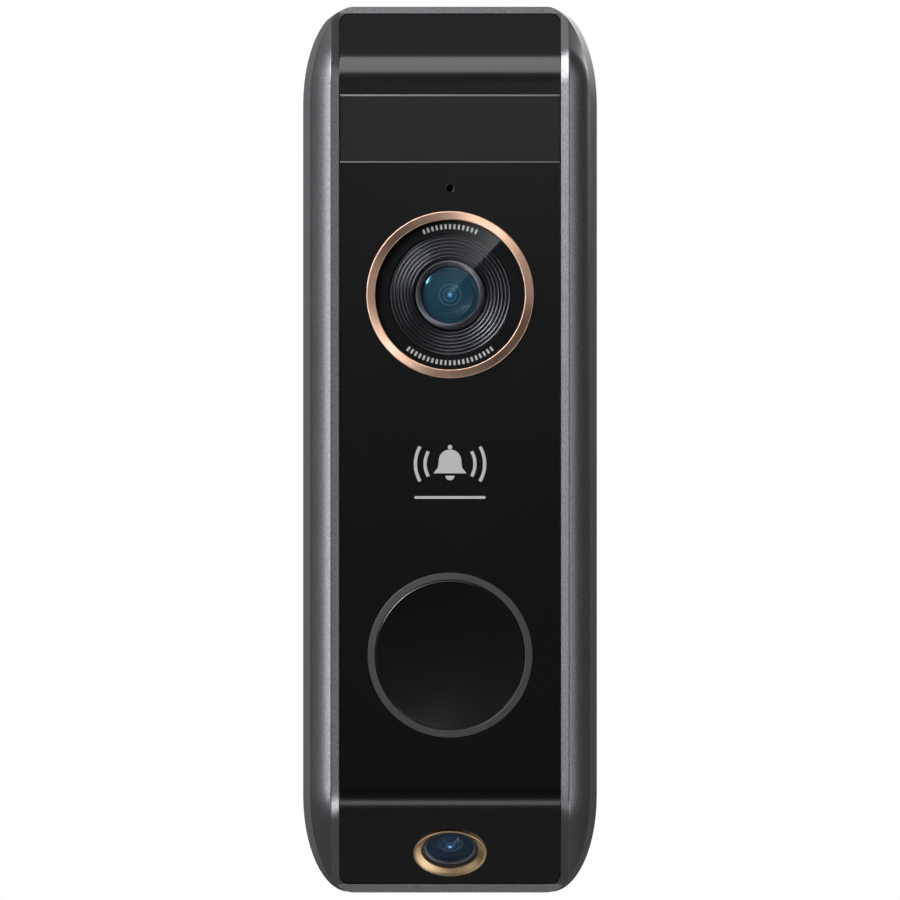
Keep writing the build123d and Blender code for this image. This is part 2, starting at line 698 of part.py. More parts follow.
def sync_switch():
    """The small switch behind the sync button."""
    body = box(-2.3, 2.3, -12.0, -9.6, SYNC_Z - 2.3, SYNC_Z + 2.3)
    return body - rod(1.2, -10.8, 0, 0, SYNC_Z)


def sync_button():
    """The sync button in the back, with its stem."""
    return turned([
        (0, -4.3), (2.2, -4.3), (2.52, -4.6), (2.52, -6.05), (3.3, -6.05), (3.3, -6.9),
        (1.1, -6.9), (1.1, -10.2), (0, -10.2)], 0, SYNC_Z)


def battery_cells():
    """Two flat cells, side by side."""
    cells = []
    for side in (1, -1):
        x0, x1 = sorted((side * 0.4, side * 20.4))
        cell = box(x0, x1, -19.0, -7.0, CELL_BOTTOM + 1, CELL_TOP - 1)
        cells.append(fillet(cell.edges().filter_by(Axis.Z), 3.0))
    return Compound(children=cells)


def battery_tray():
    """The plastic cradle that holds the cells against the rear housing."""
    tray = box(-21.2, 21.2, -14.0, INNER_Y, CELL_BOTTOM, CELL_TOP)
    return tray - box(-20.45, 20.45, -20, -7.0, CELL_BOTTOM + 0.95, CELL_TOP - 0.95)


def wire(points, radius, thickness):
    """A round wire along straight runs with round corners."""
    path = FilletPolyline(*points, radius=radius)
    first, second = Vector(*points[0]), Vector(*points[1])
    profile = Plane(origin=first, z_dir=second - first) * Circle(thickness / 2)
    return sweep(profile, path)


def battery_leads():
    """The two leads from the cells to the power board."""
    leads = []
    for shift in (0.0, 1.6):
        x = -17.6 + shift
        leads.append(wire([
            (x, -16.5, CELL_TOP - 1.0), (x, -16.5, 56.0), (x, -13.2, 56.0)], 2.5, 1.3))
    return Compound(children=leads)


def speaker_driver():
    """The flat loudspeaker's frame and magnet, facing down."""
    frame = box(-17, 17, -18.6, -8.0, -64.0, -62.0)
    frame -= box(-15.4, 15.4, -17.4, -9.2, -65, -62.6)
    return frame + box(-11, 11, -16.6, -10.0, -62.0, -59.2)


def speaker_cone():
    """The loudspeaker's diaphragm."""
    return box(-15.3, 15.3, -17.3, -9.3, -63.2, -62.7)


def speaker_mesh():
    """Fine dust mesh over each row of sound slots."""
    strips = []
    for side in (1, -1):
        x0, x1 = sorted((side * 5.1, side * 16.9))
        strips.append(box(x0, x1, -4.9, -1.8, -80.4, -80.2))
    return Compound(children=strips)


def lower_camera_flex():
    """The ribbon from the lower camera to the main board."""
    points = [
        (-14.85, -66.35), (-19.7, -64.75), (-19.9, -64.2), (-19.9, -50.0), (-20.4, -50.0),
        (-20.4, -54.0), (-20.1, -54.0), (-20.1, -64.3), (-19.85, -64.95), (-14.95, -66.5)]
    side = make_face(Polyline(*points, close=True))
    plane = Plane(origin=(-3, 0, 0), x_dir=(0, 1, 0), z_dir=(1, 0, 0))
    return extrude(plane * side, amount=6)


# ---- back interfaces ----------------------------------------------------------

def port_cover():
    """The rubber flap over the charging socket, with its plug, neck and pull tab."""
    flap = plate_xz(rounded(-6.6, 6.6, COVER_BOTTOM, COVER_TOP - 1.5, 1.4), -3.9, -2.8)
    flap += port_slot(9.4, 3.7, -4.9, -3.8)
    flap += box(-3.5, 3.5, -3.75, -2.85, COVER_TOP - 2, COVER_TOP)
    knuckle = Pos(0, COVER_HINGE_Y, COVER_TOP) * Rot(0, 90, 0) * Cylinder(0.45, 8.4)
    tab = plate_xz(rounded(-1.8, 1.8, COVER_BOTTOM - 1.2, COVER_BOTTOM + 1, 0.6), -3.6, -2.8)
    return flap + knuckle + tab


def port_cover_anchor():
    """The clip, pressed into the rear housing, whose cheeks hold the flap's neck."""
    anchor = box(-4.6, 4.6, RECESS_Y, -2.8, COVER_TOP - 0.7, COVER_TOP + 2.0)
    anchor -= box(-3.6, 3.6, -5, 0, COVER_TOP - 2, COVER_TOP + 0.9)
    return anchor - Pos(0, COVER_HINGE_Y, COVER_TOP) * Rot(0, 90, 0) * Cylinder(0.5, 8.6)


def terminal_nuts():
    """Two brass nuts, set in the housing, that take the terminal screws."""
    nuts = []
    for side in (1, -1):
        nuts.append(tube(2.5, 1.5, -9.6, RECESS_Y - 0.6, side * TERMINAL_X, TERMINAL_Z))
    return Compound(children=nuts)


def terminal_clamp(side):
    """A square clamp washer that grips a bell wire under its screw."""
    x = side * TERMINAL_X
    clamp = plate_xz(Pos(x, TERMINAL_Z) * RectangleRounded(7.0, 7.0, 0.6), -3.95, -3.1)
    clamp -= rod(1.6, -10, 0, x, TERMINAL_Z)
    return clamp


def terminal_screw(side):
    """A binding-head screw with a cross and a slot."""
    x = side * TERMINAL_X
    screw = turned([
        (0, -9.4), (1.2, -9.4), (1.45, -9.1), (1.45, -3.1), (2.7, -3.1), (2.7, -2.2),
        (2.2, -1.5), (0, -1.3)], x, TERMINAL_Z)
    slot = box(x - 3, x + 3, -2.3, 0, TERMINAL_Z - 0.35, TERMINAL_Z + 0.35)
    return screw - slot - box(x - 0.35, x + 0.35, -2.3, 0, TERMINAL_Z - 1.3, TERMINAL_Z + 1.3)


def terminal_leads():
    """The leads from the two terminal nuts up to the power board."""
    leads = []
    for side in (1, -1):
        leads.append(wire([
            (side * TERMINAL_X, -9.6, TERMINAL_Z), (side * TERMINAL_X, -16.4, TERMINAL_Z),
            (side * 13.8, -16.4, 18.0), (side * 13.8, -16.4, 47.5),
            (side * 13.8, -13.2, 47.5)], 2.5, 1.1))
    return Compound(children=leads)


def info_label():
    """A blank sticker on the recess floor."""
    return plate_xz(rounded(-10.5, 10.5, -26, -8, 1), RECESS_Y, RECESS_Y + 0.12)


# ---- wall bracket -------------------------------------------------------------

def wall_bracket():
    """The wall plate: windows, countersunk holes, two hooks and the catch's slot."""
    plate = plate_xz(rounded(-17, 17, -64, 75, 2.5), PLATE_Y, 0)
    plate -= plate_xz(rounded(-11, 11, 44, 67, 2.5), -10, 10)
    for z0 in (5.0, -28.0):
        plate -= plate_xz(rounded(-12, 12, z0, z0 + 23.0, 2.5), -10, 10)
    for z in (SCREW_HOLE_Z, -SCREW_HOLE_Z):
        plate -= rod(SCREW_HOLE_R, -10, 10, 0, z)
        plate -= turned([(0, -0.9), (SCREW_HOLE_R, -0.9), (4.0, PLATE_Y), (4.0, -5), (0, -5)], 0, z)
    for side in (1, -1):
        x0, x1 = sorted((side * TAB_X0, side * TAB_X1))
        bead = Pos((x0 + x1) / 2, HINGE_Y, HINGE_Z) * Rot(0, 90, 0) * Cylinder(
            BEAD_RADIUS, x1 - x0)
        plate += bead + box(x0, x1, -3.7, PLATE_Y, 71.0, HINGE_Z)
        rib = sorted((side * 14.0, side * 15.0))
        plate += box(*rib, PLATE_Y - 0.6, PLATE_Y, -45, 40)
    plate -= box(-5.0, 5.0, -5, 5, -70, CATCH_ROOT_Z)
    return plate - box(-5.9, 5.9, -1.8, -0.7, CATCH_ROOT_Z - 4.0, CATCH_ROOT_Z)


def release_catch():
    """The sprung tongue in the bracket's slot, whose nose holds the doorbell's lower end."""
    root = CATCH_ROOT_Z
    catch = box(-4.95, 4.95, -2.4, -0.1, root - 3.9, root)
    catch += box(-5.85, 5.85, -1.75, -0.75, root - 3.9, root)
    for side in (1, -1):
        leg = sorted((side * 3.2, side * 4.2))
        catch += box(*leg, -1.7, -0.8, -60.0, root - 3.8)
    catch += box(-4.6, 4.6, -2.4, -0.5, -63.8, -60.0)
    nose = box(-2.4, 2.4, -3.3, -2.05, -66.2, -62.0)
    return catch + nose


# ---- write every piece --------------------------------------------------------

def main():
    """Builds and writes all sixty pieces."""
    pieces = {
        "front_frame": front_frame,
        "rear_housing": rear_housing,
        "housing_gasket": gasket_ring,
        "housing_screws": housing_screws,
        "front_panel": front_panel,
        "motion_window": motion_window,
        "motion_lens": motion_lens,
        "motion_sensor": motion_sensor,
        "microphone": microphone,
        "microphone_boot": microphone_boot,
        "camera_ring": camera_ring,
        "camera_cover_glass": camera_cover_glass,
        "camera_mask": camera_mask,
        "camera_baffle": camera_baffle,
        "camera_barrel": camera_barrel,
        "camera_front_lens": camera_front_lens,
        "camera_iris": camera_iris,
        "camera_inner_lens": camera_inner_lens,
        "camera_holder": camera_holder,
        "image_sensor": image_sensor,
        "camera_board": camera_board,
        "lower_camera_ring": lower_camera_ring,
        "lower_camera_glass": lower_camera_glass,
        "lower_camera_barrel": lower_camera_barrel,
        "lower_camera_lens": lower_camera_lens,
        "lower_camera_inner_lens": lower_camera_inner_lens,
        "lower_camera_board": lower_camera_board,
        "lower_camera_flex": lower_camera_flex,
        "ring_button": ring_button,
        "button_light_ring": button_light_ring,
        "button_pad": button_pad,
        "button_switch": button_switch,
        "switch_plunger": switch_plunger,
        "button_lamps": button_lamps,
        "main_board": main_board,
        "board_screws": board_screws,
        "processor_shield": processor_shield,
        "board_chips": board_chips,
        "antenna": antenna,
        "power_board": power_board,
        "charging_port": charging_port,
        "sync_switch": sync_switch,
        "sync_button": sync_button,
        "battery_cells": battery_cells,
        "battery_tray": battery_tray,
        "battery_leads": battery_leads,
        "speaker_driver": speaker_driver,
        "speaker_cone": speaker_cone,
        "speaker_mesh": speaker_mesh,
        "port_cover": port_cover,
        "port_cover_anchor": port_cover_anchor,
        "terminal_clamp_left": lambda: terminal_clamp(-1),
        "terminal_clamp_right": lambda: terminal_clamp(1),
        "terminal_screw_left": lambda: terminal_screw(-1),
        "terminal_screw_right": lambda: terminal_screw(1),
        "terminal_nuts": terminal_nuts,
        "terminal_leads": terminal_leads,
        "info_label": info_label,
        "wall_bracket": wall_bracket,
        "release_catch": release_catch,
    }
    for name, make in pieces.items():
        save(name, make())


main()
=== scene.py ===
import math

import bmesh
import bpy
from mathutils import Matrix, Vector


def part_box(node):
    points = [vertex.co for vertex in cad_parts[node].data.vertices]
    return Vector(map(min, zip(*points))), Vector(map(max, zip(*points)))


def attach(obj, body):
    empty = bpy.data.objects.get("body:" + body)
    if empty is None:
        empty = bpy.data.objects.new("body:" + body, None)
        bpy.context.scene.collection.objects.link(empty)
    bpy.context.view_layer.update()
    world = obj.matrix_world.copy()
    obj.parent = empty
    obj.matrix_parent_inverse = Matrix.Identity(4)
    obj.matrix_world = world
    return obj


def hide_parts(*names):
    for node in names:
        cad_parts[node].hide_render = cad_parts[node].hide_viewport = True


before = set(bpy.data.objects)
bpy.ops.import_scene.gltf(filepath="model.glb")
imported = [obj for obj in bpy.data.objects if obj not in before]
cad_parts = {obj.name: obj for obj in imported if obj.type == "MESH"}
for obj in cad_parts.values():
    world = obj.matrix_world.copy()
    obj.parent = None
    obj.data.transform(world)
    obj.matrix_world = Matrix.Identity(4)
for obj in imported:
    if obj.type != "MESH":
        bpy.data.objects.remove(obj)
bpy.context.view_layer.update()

# ---- Casing: front frame and rear housing --------------------------------------
# Two polycarbonate mouldings sprayed with a satin gunmetal metallic coat. The frame
# has a sharp crest, a round shoulder outside it and a rim sloping in to the panel;
# the rear housing flares to the wall and is screwed on from behind.

MM = 0.001


def linear(code):
    """An sRGB hex colour as the linear values that shaders work in."""
    channels = [int(code[i:i + 2], 16) / 255 for i in (0, 2, 4)]
    return (*(c / 12.92 if c <= 0.04045 else ((c + 0.055) / 1.055) ** 2.4 for c in channels), 1.0)


def add(material, kind, inputs=None, **settings):
    """Adds a node to a material, with its settings, and its inputs set or linked."""
    node = material.node_tree.nodes.new("ShaderNode" + kind)
    for name, value in settings.items():
        setattr(node, name, value)
    for name, value in (inputs or {}).items():
        if isinstance(value, bpy.types.NodeSocket):
            material.node_tree.links.new(value, node.inputs[name])
        else:
            node.inputs[name].default_value = value
    return node


def finish_named(name):
    """An empty material and the socket with its Object coordinates, in metres."""
    material = bpy.data.materials.new(name)
    material.use_nodes = True
    material.node_tree.nodes.clear()
    place = add(material, "TexCoord").outputs["Object"]
    return material, place


def coat(material, shader):
    """Ends a material in its output node."""
    add(material, "OutputMaterial", {"Surface": shader.outputs[0]})
    return material


def paint(material, *names):
    """Gives CAD nodes a finished material."""
    for name in names:
        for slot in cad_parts[name].material_slots:
            slot.material = material


def metallic_coat(name, dark, light, roughness, metallic):
    """Sprayed metallic paint: flakes that catch the light, and a fine leathery skin."""
    material, place = finish_named(name)
    # Flakes are about 0.05 mm, drawn at 0.22 mm so that they show.
    flake = add(material, "TexNoise", {"Vector": place, "Scale": 1 / (0.22 * MM), "Detail": 2.0})
    cloud = add(material, "TexNoise", {"Vector": place, "Scale": 1 / (9.0 * MM), "Detail": 3.0})
    glint = add(material, "MapRange", {
        "Value": flake.outputs["Fac"], "From Min": 0.38, "From Max": 0.68})
    tint = add(material, "Mix", {0: glint.outputs["Result"], 6: linear(dark), 7: linear(light)},
               data_type="RGBA")
    rough = add(material, "MapRange", {
        "Value": cloud.outputs["Fac"], "To Min": roughness - 0.03, "To Max": roughness + 0.03})
    skin = add(material, "Bump", {
        "Height": flake.outputs["Fac"], "Strength": 0.35, "Distance": 0.012 * MM})
    shader = add(material, "BsdfPrincipled", {
        "Base Color": tint.outputs[2], "Metallic": metallic, "Roughness": rough.outputs["Result"],
        "Normal": skin.outputs["Normal"], "Coat Weight": 0.25, "Coat Roughness": 0.22})
    return coat(material, shader)


gunmetal = metallic_coat("gunmetal_satin_coat", "606163", "808184", 0.36, 0.82)
gunmetal_dark = metallic_coat("gunmetal_housing_coat", "58595b", "727376", 0.46, 0.6)
paint(gunmetal, "front_frame")
paint(gunmetal_dark, "rear_housing")


# ---- Seal and screws of the casing ---------------------------------------------
# A black silicone gasket is squeezed in the joint. Six zinc-plated Phillips screws
# sit in counterbores in the back, and four small ones hold the main board.

def rubber(name, colour, roughness, grain_mm):
    """Moulded silicone or rubber: matt, with a fine pimply skin and a dusty bloom."""
    material, place = finish_named(name)
    grain = add(material, "TexNoise", {"Vector": place, "Scale": 1 / (grain_mm * MM), "Detail": 4.0})
    bloom = add(material, "TexNoise", {"Vector": place, "Scale": 1 / (4.0 * MM), "Detail": 3.0})
    pale = tuple(min(1.0, c * 1.7 + 0.004) for c in linear(colour)[:3])
    tint = add(material, "Mix", {0: bloom.outputs["Fac"], 6: linear(colour), 7: (*pale, 1.0)},
               data_type="RGBA")
    skin = add(material, "Bump", {
        "Height": grain.outputs["Fac"], "Strength": 0.5, "Distance": 0.02 * MM})
    shader = add(material, "BsdfPrincipled", {
        "Base Color": tint.outputs[2], "Roughness": roughness, "IOR": 1.43,
        "Normal": skin.outputs["Normal"], "Sheen Weight": 0.15, "Sheen Roughness": 0.5})
    return coat(material, shader)


paint(rubber("gasket_silicone", "101011", 0.7, 0.3), "housing_gasket")
paint(rubber("boot_silicone", "0c0c0d", 0.75, 0.3), "microphone_boot")
paint(rubber("flap_silicone", "141415", 0.62, 0.25), "port_cover", "port_cover_anchor")


def plated(name, colour, roughness, streak_mm):
    """Plated or drawn metal: faint drawing streaks and cloudy patches in the shine."""
    material, place = finish_named(name)
    along = add(material, "Mapping", {"Vector": place, "Scale": (1.0, 1.0, 0.08)})
    streak = add(material, "TexNoise", {
        "Vector": along.outputs["Vector"], "Scale": 1 / (streak_mm * MM), "Detail": 3.0})
    cloud = add(material, "TexNoise", {"Vector": place, "Scale": 1 / (2.5 * MM), "Detail": 2.0})
    base = linear(colour)
    worn = tuple(c * 0.72 for c in base[:3])
    tint = add(material, "Mix", {0: cloud.outputs["Fac"], 6: base, 7: (*worn, 1.0)},
               data_type="RGBA")
    rough = add(material, "MapRange", {
        "Value": streak.outputs["Fac"], "To Min": roughness - 0.08, "To Max": roughness + 0.1})
    skin = add(material, "Bump", {
        "Height": streak.outputs["Fac"], "Strength": 0.25, "Distance": 0.01 * MM})
    shader = add(material, "BsdfPrincipled", {
        "Base Color": tint.outputs[2], "Metallic": 1.0, "Roughness": rough.outputs["Result"],
        "Normal": skin.outputs["Normal"]})
    return coat(material, shader)


zinc = plated("zinc_plated_steel", "b4b5b8", 0.34, 0.15)
paint(zinc, "housing_screws", "board_screws", "terminal_clamp_left", "terminal_clamp_right")
paint(plated("tinned_can", "c4c4c6", 0.3, 0.2),
      "motion_sensor", "processor_shield", "charging_port")
paint(plated("blackened_can", "1c1c1e", 0.6, 0.3), "microphone")
paint(plated("terminal_brass", "c2a264", 0.3, 0.2),
      "terminal_screw_left", "terminal_screw_right", "terminal_nuts")
paint(plated("gold_flashed_strip", "caa468", 0.32, 0.2), "antenna")


# ---- Front panel ---------------------------------------------------------------
# One sheet of hard-coated black polycarbonate, hot-bent at the top and the bottom
# and glued into the frame. It is polished, with the faintest ripple in its shine.

def piano_black(name, colour, roughness, ripple_mm):
    """Gloss black plastic under a clear hard coat, with a faint moulding ripple."""
    material, place = finish_named(name)
    ripple = add(material, "TexNoise", {
        "Vector": place, "Scale": 1 / (ripple_mm * MM), "Detail": 1.0})
    smear = add(material, "TexNoise", {"Vector": place, "Scale": 1 / (30.0 * MM), "Detail": 4.0})
    rough = add(material, "MapRange", {
        "Value": smear.outputs["Fac"], "To Min": roughness - 0.02, "To Max": roughness + 0.03})
    skin = add(material, "Bump", {
        "Height": ripple.outputs["Fac"], "Strength": 0.1, "Distance": 0.004 * MM})
    shader = add(material, "BsdfPrincipled", {
        "Base Color": linear(colour), "Roughness": rough.outputs["Result"], "IOR": 1.58,
        "Normal": skin.outputs["Normal"], "Coat Weight": 0.6, "Coat Roughness": 0.12,
        "Coat IOR": 1.5})
    return coat(material, shader)


paint(piano_black("piano_black_hard_coat", "050506", 0.24, 14.0), "front_panel")
paint(piano_black("window_film_satin", "111113", 0.3, 10.0), "motion_window")


def mesh_piece(name, shape, body, material, slot, *nodes):
    """Makes a mesh into a piece that rides on a body and stands for CAD nodes."""
    bmesh.ops.remove_doubles(shape, verts=shape.verts[:], dist=0.0005 * MM)
    bmesh.ops.recalc_face_normals(shape, faces=shape.faces[:])
    data = bpy.data.meshes.new(name)
    shape.to_mesh(data)
    shape.free()
    for face in data.polygons:
        face.use_smooth = True
    data.set_sharp_from_angle(angle=math.radians(35))
    piece = bpy.data.objects.new(name, data)
    bpy.context.scene.collection.objects.link(piece)
    data.materials.append(material)
    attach(piece, body)
    if nodes:
        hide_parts(*nodes)
    return piece


def round_over(shape, width, segments=2):
    """Rounds every sharp edge of a mesh a little, as a real edge is."""
    sharp = [e for e in shape.edges if len(e.link_faces) == 2
             and e.calc_face_angle() > math.radians(28)]
    bmesh.ops.bevel(shape, geom=sharp, offset=width, offset_type="OFFSET", segments=segments,
                    profile=0.5, affect="EDGES", material=-1, clamp_overlap=True)


def block(low, high):
    """A block between two corners, in metres."""
    middle = (Vector(low) + Vector(high)) / 2
    size = Vector(high) - Vector(low)
    shape = bmesh.new()
    bmesh.ops.create_cube(shape, size=1.0, matrix=Matrix.LocRotScale(middle, None, size))
    return shape


# A hair-thin bead runs along the window's two seams. Its pale grey tint is a painted highlight that draws the
# fine light line, and its rounded skin catches some real light as well.
BEAD_RISE = 0.02 * MM
window_low, window_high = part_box("motion_window")
seam_highlight_finish, place = finish_named("seam_bead_painted_highlight")
lumps = add(seam_highlight_finish, "TexNoise", {"Vector": place, "Scale": 1 / (1.5 * MM), "Detail": 2.0})
# Pale grey: the painted highlight of the seam line.
tint = add(seam_highlight_finish, "Mix", {0: lumps.outputs["Fac"], 6: linear("5f5f61"),
                                7: linear("747476")}, data_type="RGBA")
shader = add(seam_highlight_finish, "BsdfPrincipled", {
    "Base Color": tint.outputs[2], "Roughness": 0.3, "IOR": 1.49})
coat(seam_highlight_finish, shader)
for name, seam_z, tall in (("window_seam_upper", window_high.z + 0.1 * MM, 0.32 * MM),
                           ("window_seam_lower", window_low.z + 0.16 * MM, 0.2 * MM)):
    bead = block((window_low.x, window_low.y - BEAD_RISE, seam_z - tall / 2),
                 (window_high.x, window_low.y + 0.05 * MM, seam_z + tall / 2))
    round_over(bead, 0.03 * MM)
    mesh_piece(name, bead, "doorbell", seam_highlight_finish, "window_film")


# ---- Printed bell pictogram ------------------------------------------------------
# A plain bell with sound waves and a fine rule, screen printed on the panel in pale
# grey ink a few hundredths of a millimetre thick.

PANEL_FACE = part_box("front_panel")[0].y
OUTWARD = Matrix.Rotation(math.radians(90), 4, "X")


def sector(shape, centre, inner, outer, start, end):
    """A flat slice of ring in millimetres, spun from a short radial edge."""
    way = Vector((math.cos(math.radians(start)), math.sin(math.radians(start)), 0))
    middle = Vector((*centre, 0)) * MM
    ends = [shape.verts.new(middle + way * reach * MM) for reach in (inner, outer)]
    edge = shape.edges.new(ends)
    bmesh.ops.spin(shape, geom=[*ends, edge], cent=middle, axis=(0, 0, 1), dvec=(0, 0, 0),
                   angle=math.radians(end - start), steps=max(8, int(abs(end - start) / 5)))


def patch(shape, *corners):
    """A flat face between corners, in millimetres."""
    shape.faces.new([shape.verts.new((x * MM, z * MM, 0)) for x, z in corners])


bell = bmesh.new()
sector(bell, (0, 0.6), 0, 2.1, 0, 180)
patch(bell, (-2.1, 0.6), (-2.25, -0.7), (2.25, -0.7), (2.1, 0.6))
patch(bell, (-2.25, -0.7), (-3.1, -1.75), (3.1, -1.75), (2.25, -0.7))
sector(bell, (0, -2.2), 0, 0.85, 180, 360)
sector(bell, (0, 3.15), 0, 0.42, 0, 360)
for side in (0, 180):
    for reach in (4.35, 6.15):
        sector(bell, (0, 0), reach, reach + 0.62, side - 30, side + 30)
patch(bell, (-6.4, -6.0), (-6.4, -6.5), (6.4, -6.5), (6.4, -6.0))
sector(bell, (-6.4, -6.25), 0, 0.25, 90, 270)
sector(bell, (6.4, -6.25), 0, 0.25, -90, 90)
bmesh.ops.remove_doubles(bell, verts=bell.verts[:], dist=0.0005 * MM)
raised = bmesh.ops.extrude_face_region(bell, geom=bell.faces[:])
bmesh.ops.translate(bell, vec=(0, 0, 0.03 * MM),
                    verts=[v for v in raised["geom"] if isinstance(v, bmesh.types.BMVert)])
BELL_PLACE = Matrix.Translation((0, PANEL_FACE - 0.005 * MM, -2.6 * MM)) @ OUTWARD
bmesh.ops.transform(bell, matrix=BELL_PLACE, verts=bell.verts[:])

ink, place = finish_named("pale_grey_screen_ink")
speck = add(ink, "TexNoise", {"Vector": place, "Scale": 1 / (0.3 * MM), "Detail": 3.0})
tint = add(ink, "Mix", {0: speck.outputs["Fac"], 6: linear("8c8c8e"), 7: linear("a6a6a8")},
           data_type="RGBA")
shader = add(ink, "BsdfPrincipled", {"Base Color": tint.outputs[2], "Roughness": 0.45})
mesh_piece("bell_pictogram", bell, "doorbell", coat(ink, shader), "label_grey")


# ---- Main camera ---------------------------------------------------------------
# A rose-gold ring holds a domed clear cover with a black printed border. Behind it
# a ribbed funnel leads to the barrel, its coated outer lens, the iris and the eye.
# Every round piece is turned on a lathe or moulded round, so each is spun here.

FULL_TURN = 2 * math.pi


def middle_of(node):
    """The middle of a CAD node's box."""
    low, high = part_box(node)
    return (low + high) / 2


def lathe(profile, place, steps=192):
    """A shape spun about local Z from (radius, height) points in millimetres."""
    shape = bmesh.new()
    points = [shape.verts.new((radius * MM, 0, height * MM)) for radius, height in profile]
    for first, second in zip(points, points[1:] + points[:1]):
        if first.co.x > 0 or second.co.x > 0:
            shape.edges.new((first, second))
    bmesh.ops.spin(shape, geom=shape.verts[:] + shape.edges[:], cent=(0, 0, 0), axis=(0, 0, 1),
                   dvec=(0, 0, 0), angle=FULL_TURN, steps=steps, use_merge=True)
    bmesh.ops.remove_doubles(shape, verts=shape.verts[:], dist=0.0005 * MM)
    bmesh.ops.transform(shape, matrix=place, verts=shape.verts[:])
    return shape


def dome(ball, top, start, end, steps=12):
    """Profile points along a ball's cap, from one radius to another."""
    radii = [start + (end - start) * step / steps for step in range(steps + 1)]
    return [(radius, top - ball + math.sqrt(ball * ball - radius * radius)) for radius in radii]


def half_round(start, end, height, rise, steps=8):
    """Profile points over a round rib, from one radius to another."""
    middle = (start + end) / 2
    half = (start - end) / 2
    angles = [math.pi * step / steps for step in range(steps + 1)]
    return [(middle + half * math.cos(a), height + rise * math.sin(a)) for a in angles]


CAMERA_MIDDLE = middle_of("camera_ring")
CAMERA_AXIS = Vector((0, -1, 0))
CAMERA_PLACE = Matrix.Translation((0, 0, CAMERA_MIDDLE.z)) @ OUTWARD


def radius_from(material, place, centre, axis):
    """Each point relative to a lens's centre, its distance from the axis, and the way round."""
    centred = add(material, "VectorMath", {0: place, 1: tuple(-c for c in centre)},
                  operation="ADD").outputs[0]
    around = add(material, "VectorMath", {0: centred, 1: tuple(axis)},
                 operation="CROSS_PRODUCT").outputs[0]
    reach = add(material, "VectorMath", {0: around}, operation="LENGTH").outputs["Value"]
    return centred, reach, around


def turned_anodised(name, colour, pale, roughness, centre, axis):
    """Turned, polished and anodised aluminium, whose shine is stretched round the axis."""
    material, place = finish_named(name)
    centred, reach, around = radius_from(material, place, centre, axis)
    # Tool rings are about 0.05 mm apart, drawn at 0.3 mm so that they show.
    rings = add(material, "Math", {0: reach, 1: FULL_TURN / (0.3 * MM)}, operation="MULTIPLY")
    wave = add(material, "Math", {0: rings.outputs[0]}, operation="SINE")
    cloud = add(material, "TexNoise", {"Vector": place, "Scale": 1 / (4.0 * MM), "Detail": 2.0})
    tone = add(material, "Math", {0: wave.outputs[0], 1: 0.12, 2: cloud.outputs["Fac"]},
               operation="MULTIPLY_ADD")
    tint = add(material, "Mix", {0: tone.outputs[0], 6: linear(colour), 7: linear(pale)},
               data_type="RGBA")
    shader = add(material, "BsdfPrincipled", {
        "Base Color": tint.outputs[2], "Metallic": 1.0, "Roughness": roughness,
        "Anisotropic": 0.9, "Tangent": around})
    return coat(material, shader)


# The ring's top is flat between two rounded edges: the flat carries broad soft sectors
# of light and the edges show as fine bright lines.
rose_gold = turned_anodised("rose_gold_anodised", "c79a82", "e6c4ae", 0.43, CAMERA_MIDDLE,
                            CAMERA_AXIS)
ring = lathe([(14.0, 24.6), (14.0, 27.56), (14.24, 27.548), (15.36, 27.492), (15.6, 27.48),
              (15.6, 24.6)], CAMERA_PLACE)
round_over(ring, 0.14 * MM, 3)
mesh_piece("camera_ring_turned", ring, "doorbell", rose_gold, "copper_ring", "camera_ring")


def outer_side(material, amount):
    """An amount of shine kept to the outer skin, since the clear pieces do not bend light."""
    back = add(material, "NewGeometry").outputs["Backfacing"]
    return add(material, "Mix", {0: back, 2: amount, 3: 0.0}).outputs[0]


def clear_cover(name):
    """Clear hard-coated polycarbonate: only its shine shows."""
    material, place = finish_named(name)
    smudge = add(material, "TexNoise", {"Vector": place, "Scale": 1 / (6.0 * MM), "Detail": 5.0})
    rough = add(material, "MapRange", {
        "Value": smudge.outputs["Fac"], "To Min": 0.0, "To Max": 0.03})
    shine = add(material, "BsdfGlossy", {"Color": (1, 1, 1, 1),
                                         "Roughness": rough.outputs["Result"]})
    through = add(material, "BsdfTransparent", {"Color": (0.97, 0.98, 0.985, 1)})
    edge = add(material, "Fresnel", {"IOR": 1.5})
    outer = outer_side(material, edge.outputs[0])
    mixed = add(material, "MixShader", {0: outer, 1: through.outputs[0], 2: shine.outputs[0]})
    return coat(material, mixed)


cover_finish = clear_cover("clear_hard_coated_cover")
cover = lathe(dome(190.5, 27.3, 0, 13.96, 24) + [(13.96, 26.32), (0, 26.32)], CAMERA_PLACE)
mesh_piece("camera_cover_moulded", cover, "doorbell", cover_finish, "cover_glass", "camera_cover_glass")

# Plain ticks are printed in two arcs on the border, above and below the lens.
border, place = finish_named("black_border_print")
centred, reach, around = radius_from(border, place, CAMERA_MIDDLE, CAMERA_AXIS)
parts = add(border, "SeparateXYZ", {0: centred})
angle = add(border, "Math", {0: parts.outputs["X"], 1: parts.outputs["Z"]}, operation="ARCTAN2")
TICKS_ROUND = 96
TICK_INNER = 12.25
TICK_OUTER = 13.2
TICK_BLUR = 0.05
tick = add(border, "Math", {0: angle.outputs[0], 1: TICKS_ROUND}, operation="MULTIPLY")
tooth = add(border, "Math", {0: tick.outputs[0]}, operation="COSINE")
sharp = add(border, "MapRange", {"Value": tooth.outputs[0], "From Min": -0.1, "From Max": 0.25})
upright = add(border, "Math", {0: parts.outputs["Z"], 1: reach}, operation="DIVIDE")
upper = add(border, "MapRange", {"Value": upright.outputs[0], "From Min": 0.915, "From Max": 0.92})
lower = add(border, "MapRange", {"Value": upright.outputs[0], "From Min": -0.78,
                                 "From Max": -0.785})
arcs = add(border, "Math", {0: upper.outputs[0], 1: lower.outputs[0]}, operation="ADD")
